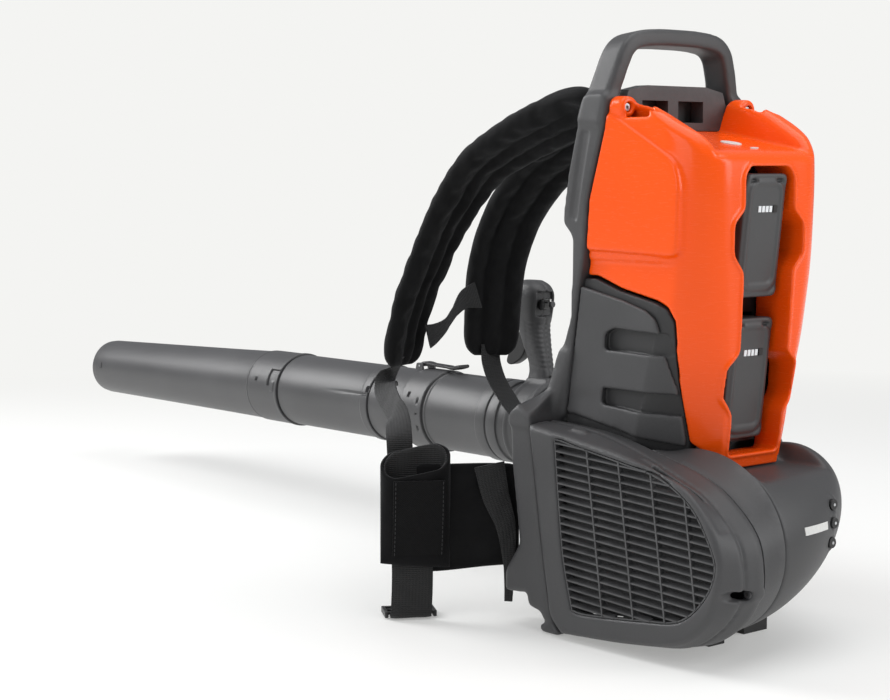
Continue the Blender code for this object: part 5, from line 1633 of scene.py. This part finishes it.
def band(name, points, across, width, thick=0.0022, finish="webbing", replaces=(), wave=0.0):
    """Flat webbing: a swept strip with thinned edges and a ripple of height wave."""
    length = spline_length(points)
    n = max(4, int(length / 0.0028) + 1)
    path, side, out = frames(spline(points, n), across)
    share = np.linspace(0, 1, n)
    wide = spread(width, n)
    cols = np.linspace(-1, 1, 9)
    rings, lays = [], []
    for i in range(n):
        ring = []
        for face, row in ((1, cols), (-1, cols[::-1])):
            for v in row:
                half = thick / 2 * (0.55 if abs(v) > 0.999 else 1.0)
                swell = 0.4 + 0.6 * noise.noise(Vector((i * 0.11, v, 2.0)))
                ripple = wave * math.sin(3.0 * v + 31 * share[i]) * swell
                ring.append(tuple(path[i] + side[i] * v * wide[i] / 2
                                  + out[i] * (face * half + ripple)))
                lays.append((share[i] * length, v * wide[i] / 2 + (0.1 if face < 0 else 0.0)))
        rings.append(ring)
    return dress(cloth_object(name, loft(rings), lays), finish, "pack", 50, replaces)


def stitches(name, points, normal, pitch=0.0042, radius=0.00045, lift=0.0004):
    """A row of short raised threads along a line."""
    count = int(spline_length(points) / pitch)
    line = spline(points, count * 4 + 1)
    normal = Vector(normal).normalized()
    shapes = []
    for k in range(count):
        thread = line[4 * k: 4 * k + 4]
        rings = []
        for i, p in enumerate(thread):
            centre = Vector(p) + normal * (lift + radius * (0.4, 1.0, 1.0, 0.4)[i])
            along = Vector(thread[min(i + 1, 3)] - thread[max(i - 1, 0)]).normalized()
            side = along.cross(normal).normalized()
            r = radius * (0.5, 1.0, 1.0, 0.5)[i]
            rings.append([tuple(centre + side * r * math.cos(a) + normal * r * math.sin(a))
                          for a in (0.0, 1.05, 2.09, 3.14, 4.19, 5.24)])
        shapes.append(loft(rings))
    make(name, joined(shapes), "thread", "pack", 60)


# ============================================================ harness: straps and cushions
# centre lines from the frame over the shoulder and down, (x, y, z)
STRAP_LEFT = [
    (-0.0560, 0.0500, 0.4900), (-0.0560, 0.0922, 0.4870), (-0.0565, 0.1489, 0.4702),
    (-0.0575, 0.2090, 0.4450), (-0.0580, 0.2439, 0.4200), (-0.0590, 0.2709, 0.3890),
    (-0.0595, 0.2950, 0.3560), (-0.0600, 0.3180, 0.3182), (-0.0610, 0.3340, 0.2868),
    (-0.0620, 0.3450, 0.2497), (-0.0625, 0.3500, 0.2240)]
STRAP_RIGHT = [
    (0.0500, 0.0500, 0.4860), (0.0520, 0.0950, 0.4840), (0.0540, 0.1500, 0.4720),
    (0.0560, 0.2080, 0.4530), (0.0585, 0.2557, 0.4310), (0.0600, 0.2870, 0.4060),
    (0.0620, 0.3110, 0.3800), (0.0635, 0.3290, 0.3500), (0.0645, 0.3400, 0.3200),
    (0.0650, 0.3450, 0.2857), (0.0650, 0.3480, 0.2498), (0.0650, 0.3490, 0.2270)]
# directions across each strap, evenly spread along it
STRAP_LEFT_ACROSS = [
    (0.74, 0.05, -0.67), (0.80, 0.08, -0.58), (0.90, 0.12, -0.38), (0.95, 0.18, -0.20),
    (0.97, 0.22, -0.08), (0.97, 0.24, 0.0)]
STRAP_RIGHT_ACROSS = [
    (0.76, -0.05, -0.65), (0.80, -0.12, -0.58), (0.86, -0.30, -0.36), (0.88, -0.40, -0.18),
    (0.88, -0.46, -0.06), (0.88, -0.48, 0.0)]

# the left hip wing is laid out by s along the belt (left and forward), out square to
# it (left and rearward), and z
WING_ORIGIN = np.array([-0.1010, 0.1270])
WING_ALONG = np.array([-0.8600, 0.5100]) / math.hypot(0.86, 0.51)
WING_OUT = np.array([-WING_ALONG[1], WING_ALONG[0]])
ALONG_3D = (float(WING_ALONG[0]), float(WING_ALONG[1]), 0.0)


def wing(s, out, z):
    p = WING_ORIGIN + WING_ALONG * s + WING_OUT * out
    return (float(p[0]), float(p[1]), z)


def shoulder_pads():
    pad("shoulder_strap_left_pad", STRAP_LEFT, STRAP_LEFT_ACROSS,
        width=[0.058, 0.062, 0.064, 0.062, 0.060, 0.058],
        thick=[0.019, 0.021, 0.022, 0.021, 0.020, 0.018],
        replaces=("shoulder_strap_left",), seams=(-0.10, 0.42), columns=16)
    pad("shoulder_strap_right_pad", STRAP_RIGHT, STRAP_RIGHT_ACROSS,
        width=[0.056, 0.062, 0.066, 0.067, 0.066, 0.062],
        thick=[0.017, 0.019, 0.020, 0.020, 0.019, 0.017],
        replaces=("shoulder_strap_right",), seams=(-0.36, 0.36), columns=16)


def cushions():
    """Back pad between the rails and the broad lumbar pad below."""
    pad("back_cushion", [(x, 0.0685, 0.330) for x in (-0.0760, 0.0, 0.0760)], (0, 0, 1),
        width=[0.076], thick=[0.016], replaces=("back_pad",), seams=(0.0,), columns=12,
        step=0.008, taper=0.015, end_width=0.90)
    pad("lumbar_cushion", [(-0.1000, 0.1030, 0.128), (-0.020, 0.1010, 0.128),
                           (0.0600, 0.1030, 0.128)], (0, 0.06, 1),
        width=[0.136], thick=[0.024], replaces=("lumbar_pad",), seams=(-0.34, 0.34),
        columns=18, step=0.008, taper=0.018, end_width=0.90)


def hip_pads():
    left = [wing(-0.004, 0.000, 0.099), wing(0.030, -0.001, 0.099), wing(0.074, 0.001, 0.098),
            wing(0.100, -0.004, 0.098)]
    pad("hip_wing_left_pad", left, (0, 0, 1), width=[0.100, 0.104, 0.108],
        thick=[0.012, 0.012, 0.010], replaces=("hip_wing_left",), seams=(-0.86, 0.86),
        columns=16, step=0.006, taper=0.010, end_width=0.90)
    right = [(0.0640, 0.1160, 0.072), (0.0720, 0.1500, 0.072), (0.0740, 0.2000, 0.072),
             (0.0680, 0.2450, 0.072)]
    pad("hip_wing_right_pad", right, (0, 0, 1), width=[0.070, 0.074, 0.066],
        thick=[0.014, 0.015, 0.012], replaces=("hip_wing_right",), seams=(-0.80, 0.80),
        columns=12, step=0.007, taper=0.012, end_width=0.90)


# ============================================================ harness: belt and webbing
def sleeve(name, finish, inset, wall, z_low, z_drop):
    """An upright flattened loop, its top lower by z_drop on the outer side."""
    mid, half = 0.100, 0.034 - inset      # centre and half-length along the belt
    around, rows = 96, 26
    verts, lays = [], []
    for layer_inset in (0.0, wall):
        for k in range(around):
            angle = 2 * math.pi * k / around
            c, sn = math.cos(angle), math.sin(angle)
            s = mid + (half - layer_inset) * math.copysign(abs(c) ** 0.80, c)
            depth = 0.0150 - inset - layer_inset
            out = 0.008 + depth * math.copysign(abs(sn) ** 0.9, sn)
            z_top = (0.1720 - z_drop * clip01(0.5 + 0.62 * sn)
                     - 0.012 * clip01((s - mid) / half * 0.5 + 0.5))
            z_bottom = z_low - 0.006 * clip01((mid + half - s) / (2 * half))
            for i in range(rows):
                u = i / (rows - 1)
                z = z_bottom + (z_top - z_bottom) * u
                pinch = 1.0 - 0.62 * (1 - u) ** 1.3
                crumple = 0.0011 * noise.noise(Vector((s * 60, out * 40, z * 36)))
                verts.append(wing(s, 0.004 + (out - 0.004) * pinch + crumple, z))
                lays.append((z, s if sn >= 0 else 2 * mid - s + 0.2))

    def at(layer, k, i):
        return (layer * around + k % around) * rows + i

    faces = []
    top = rows - 1
    for k in range(around):
        for i in range(top):
            faces.append((at(0, k, i), at(0, k + 1, i), at(0, k + 1, i + 1), at(0, k, i + 1)))
            faces.append((at(1, k, i), at(1, k, i + 1), at(1, k + 1, i + 1), at(1, k + 1, i)))
        faces.append((at(0, k, top), at(0, k + 1, top), at(1, k + 1, top), at(1, k, top)))
        faces.append((at(0, k, 0), at(1, k, 0), at(1, k + 1, 0), at(0, k + 1, 0)))
    dress(cloth_object(name, (verts, faces), lays), finish, "pack", None)


def hip_sleeve():
    """The sleeve, its lining, and a hook-fastener patch between two rows of stitches."""
    sleeve("hip_sleeve", "fabric", inset=0.0, wall=0.0028, z_low=0.0560, z_drop=0.022)
    sleeve("hip_sleeve_lining", "webbing", inset=0.0031, wall=0.0016, z_low=0.0700,
           z_drop=0.024)
    rise = ((0.0128, 0.0640), (0.0175, 0.0850), (0.0215, 0.1100), (0.0240, 0.1380))  # out, z
    band("hip_hook_patch", [wing(0.0985, out, z) for out, z in rise], ALONG_3D, 0.0500,
         finish="velcro")
    normal = (float(WING_OUT[0]), float(WING_OUT[1]), 0.25)
    for k, s in enumerate((0.0755, 0.1215)):
        line = [wing(s, out + 0.0008, z) for out, z in rise]
        stitches("hip_stitches_%d" % k, line, normal)


def buckle_part(name, shape, replaces=()):
    """A part whose shape is given as (s, out, z) on the left wing."""
    verts, faces = shape
    placed = [wing(*v) for v in verts]
    soften(make(name, (placed, faces), "black", "pack", 30, replaces), 0.0008)


def hip_webbing():
    """Tails hanging from both wings, the left one's ladder buckle, a diagonal band."""
    tail = [wing(0.1030, 0.006, 0.0700), wing(0.1030, 0.0075, 0.0400),
            wing(0.1040, 0.0090, 0.0160), wing(0.1045, 0.0080, 0.0040),
            wing(0.1035, -0.0010, 0.0022), wing(0.1020, -0.0160, 0.0022)]
    band("hip_tail_left", tail, ALONG_3D, 0.0400, thick=0.0026,
         replaces=("hip_webbing_left",), wave=0.0004)
    buckle_part("hip_buckle_rail_a", box(0.0780, 0.0815, -0.0260, 0.0020, 0.0008, 0.0068),
                ("hip_buckle_left",))
    buckle_part("hip_buckle_rail_b", box(0.1255, 0.1290, -0.0260, 0.0020, 0.0008, 0.0068))
    for k, out in enumerate((-0.0248, -0.0130, -0.0012)):
        buckle_part("hip_buckle_bar_%d" % k,
                    box(0.0800, 0.1270, out - 0.0016, out + 0.0016, 0.0036, 0.0066))
    band("hip_tail_right", [(0.0700, 0.2300, 0.0400), (0.0700, 0.2305, 0.0200),
                            (0.0700, 0.2300, 0.0045)], (0, 1, 0), 0.0380, thick=0.0026,
         replaces=("hip_webbing_right",), wave=0.0003)
    diagonal = [wing(0.0280, 0.0100, 0.1500), wing(0.0220, 0.0108, 0.1200),
                wing(0.0120, 0.0110, 0.0900), wing(0.0090, 0.0105, 0.0600),
                wing(0.0080, 0.0080, 0.0300), wing(0.0080, 0.0060, 0.0140)]
    band("hip_webbing_diagonal", diagonal,
         [(0.86, -0.51, 0.10), (0.75, -0.60, 0.20), (0.70, -0.64, 0.1)],
         [0.0300, 0.0260, 0.0180, 0.0100, 0.0080], wave=0.0005)


def shoulder_webbing():
    """Bands from each shoulder pad's end back to the belt, and the chest strap."""
    left = [(-0.0640, 0.3440, 0.2350), (-0.0700, 0.3560, 0.2170), (-0.0860, 0.3480, 0.2040),
            (-0.1150, 0.3050, 0.1960), (-0.1500, 0.2500, 0.1880), (-0.1780, 0.2120, 0.1740),
            (-0.1830, 0.2040, 0.1500)]
    band("shoulder_webbing_left", left,
         [(0.90, 0.20, 0.25), (0.80, 0.10, 0.45), (0.62, 0.25, 0.62), (0.55, 0.35, 0.60),
          (0.62, -0.30, 0.25), (0.84, -0.50, 0.0)], 0.0255,
         replaces=("strap_webbing_left",), wave=0.0005)
    right = [(0.0650, 0.3490, 0.2400), (0.0650, 0.3480, 0.2200), (0.0650, 0.3380, 0.2000),
             (0.0640, 0.3170, 0.1790), (0.0640, 0.2900, 0.1560), (0.0640, 0.2640, 0.1240),
             (0.0640, 0.2450, 0.0980)]
    band("shoulder_webbing_right", right, (1, 0, 0), 0.0270,
         replaces=("strap_webbing_right",), wave=0.0004)
    chest = [(-0.0450, 0.3262, 0.2560), (-0.0330, 0.3280, 0.2590), (-0.0150, 0.3330, 0.2660),
             (0.0060, 0.3430, 0.2780), (0.0250, 0.3480, 0.2910), (0.0420, 0.3440, 0.2960)]
    band("chest_band", chest,
         [(0.2, 0.1, 1), (0.0, 0.0, 1), (-0.2, 0, 1), (-0.3, 0, 1), (-0.2, 0.2, 1)],
         [0.026, 0.018, 0.0115, 0.0115, 0.020, 0.030], replaces=("chest_strap",))


# ============================================================ stage, light, camera
BACKDROP = (0.905, 0.905, 0.888)
FLOOR_ALBEDO = (0.62, 0.62, 0.611)
FLOOR_LIFT = 0.34             # emission that lifts the floor towards the backdrop
WORLD_COLOUR, WORLD_STRENGTH = (0.86, 0.88, 0.92), 0.32
LIGHTS = (        # name, place, target, (width, height), watts
    ("top_box", (0.1, -0.2, 2.3), (0.0, 0.2, 0.2), (2.4, 2.0), 34),
    ("rear_box", (1.15, -1.75, 1.15), (0.0, -0.05, 0.25), (0.9, 1.5), 20),
    ("left_box", (-2.2, -0.1, 1.1), (0.0, 0.2, 0.25), (1.6, 1.4), 14),
    ("tube_rim", (-0.87, 2.15, 1.45), (0.14, 0.75, 0.15), (1.1, 1.5), 42))


def mix_to_surface(tree, fac, first, second, output):
    mix = tree.nodes.new("ShaderNodeMixShader")
    for index, socket in enumerate((fac, first.outputs[0], second.outputs[0])):
        tree.links.new(socket, mix.inputs[index])
    tree.links.new(mix.outputs[0], tree.nodes[output].inputs["Surface"])


def floor():
    """A floor that fades into the backdrop away from the blower."""
    obj = bpy.data.objects.new("floor", bpy.data.meshes.new("floor"))
    obj.data.from_pydata([(-9, -9, 0), (9, -9, 0), (9, 9, 0), (-9, 9, 0)], [], [(0, 1, 2, 3)])
    SCENE.collection.objects.link(obj)
    obj.location.z = -0.0005
    shader = Shader("floor")
    distance = shader.node("ShaderNodeVectorMath")
    distance.operation = "DISTANCE"
    shader.feed(distance.inputs[0], shader.position)
    shader.feed(distance.inputs[1], (0.0, 0.2, 0.0))
    far = shader.calc("DIVIDE", distance.outputs["Value"], 3.0)
    far = shader.ramp(far, (0.30, 0.0), (0.75, 1.0))
    shader.finish(Base_Color=FLOOR_ALBEDO,
                  Roughness=shader.scaled(shader.noise(scale=40.0), 0.05, 0.45),
                  Specular_IOR_Level=0.15, Emission_Color=BACKDROP,
                  Emission_Strength=FLOOR_LIFT)
    backdrop = shader.node("ShaderNodeEmission", Color=BACKDROP)
    mix_to_surface(shader.tree, far, shader.principled, backdrop, "Material Output")
    obj.data.materials.append(shader.material)


def world():
    """Soft light all round; the camera itself sees the backdrop's colour."""
    studio = bpy.data.worlds.new("studio")
    SCENE.world = studio
    studio.use_nodes = True
    tree = studio.node_tree
    light = tree.nodes["Background"]
    seen = tree.nodes.new("ShaderNodeBackground")
    for node, colour, strength in ((light, WORLD_COLOUR, WORLD_STRENGTH), (seen, BACKDROP, 1.0)):
        node.inputs["Color"].default_value = (*colour, 1)
        node.inputs["Strength"].default_value = strength
    path = tree.nodes.new("ShaderNodeLightPath")
    mix_to_surface(tree, path.outputs["Is Camera Ray"], light, seen, "World Output")


def lights():
    for name, place, target, (width, height), watts in LIGHTS:
        light = bpy.data.lights.new(name, "AREA")
        light.shape = "RECTANGLE"
        light.size, light.size_y = width, height
        light.energy = watts
        obj = bpy.data.objects.new(name, light)
        SCENE.collection.objects.link(obj)
        obj.location = place
        aim = Vector(target) - Vector(place)
        obj.rotation_euler = aim.to_track_quat("-Z", "Y").to_euler()


def camera():
    """Seen from the left rear, looking slightly down."""
    data = bpy.data.cameras.new("camera")
    data.lens = 77.54
    data.sensor_width = 36
    data.clip_start, data.clip_end = 0.02, 50
    obj = bpy.data.objects.new("camera", data)
    SCENE.collection.objects.link(obj)
    obj.location = (-1.3532, -1.2333, 0.437)
    obj.rotation_euler = (math.radians(90 - 5.483), 0, math.radians(-40.5))
    SCENE.camera = obj
    SCENE.view_settings.view_transform = "Standard"
    SCENE.view_settings.look = "None"


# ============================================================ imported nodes
LATCHES = ["battery_latch_%s_%s" % place
           for place in product(("upper", "lower"), ("left", "right"))]
COVER_SCREWS = ["cover_screw_left", "cover_screw_right"]
REAR_FEET = ["foot_rear_left", "foot_rear_right"]
PACKED_FINISH = {     # every other node is dark
    "steel": COVER_SCREWS + ["rotor_shaft", "bearing_front", "bearing_rear"],
    "black": LATCHES + ["battery_bay", "terminal_block_upper", "terminal_block_lower",
                        "impeller", "housing_screw_top", "housing_screw_middle",
                        "housing_screw_bottom"],
    "board": ["controller_board"],
    "copper": ["motor_stator"],
    "alu": ["motor_housing"],
    "rubber": REAR_FEET + ["base_skid"],
}
PACKED_BEVEL = {      # bevel width: nodes
    0.0010: ["vent_panel", "base_skid"],
    0.0012: REAR_FEET,
    0.0007: LATCHES,
    0.0004: COVER_SCREWS,
}


def by_node(table):
    return {name: value for value, names in table.items() for name in names}


def finish_packed_nodes():
    finishes, bevels = by_node(PACKED_FINISH), by_node(PACKED_BEVEL)
    for name, obj in frame["nodes"].items():
        set_finish(obj, finishes.get(name, "dark"))
        if name in bevels:
            soften(obj, bevels[name], angle=40)


# ============================================================ build
cover()
back_frame()
side_covers()
fan_outer()
fan_inner()
intake_cover()
intake_grille()
battery("upper", z0=0.316, z1=0.432, y_top=-0.1010, y_bottom=-0.0880)
battery("lower", z0=0.184, z1=0.300, y_top=-0.0865, y_bottom=-0.0735)
tube_line()
handle_clamp()
grip()
controls()
cable()
soften(make("vent_backing", box(-0.0700, 0.0700, 0.0300, 0.0318, 0.4700, 0.5060), "rubber",
            "pack", 30), width=0.0004, segments=2)
shoulder_pads()
cushions()
hip_pads()
hip_sleeve()
hip_webbing()
shoulder_webbing()
fill_pads()
floor()
world()
lights()
camera()
finish_packed_nodes()
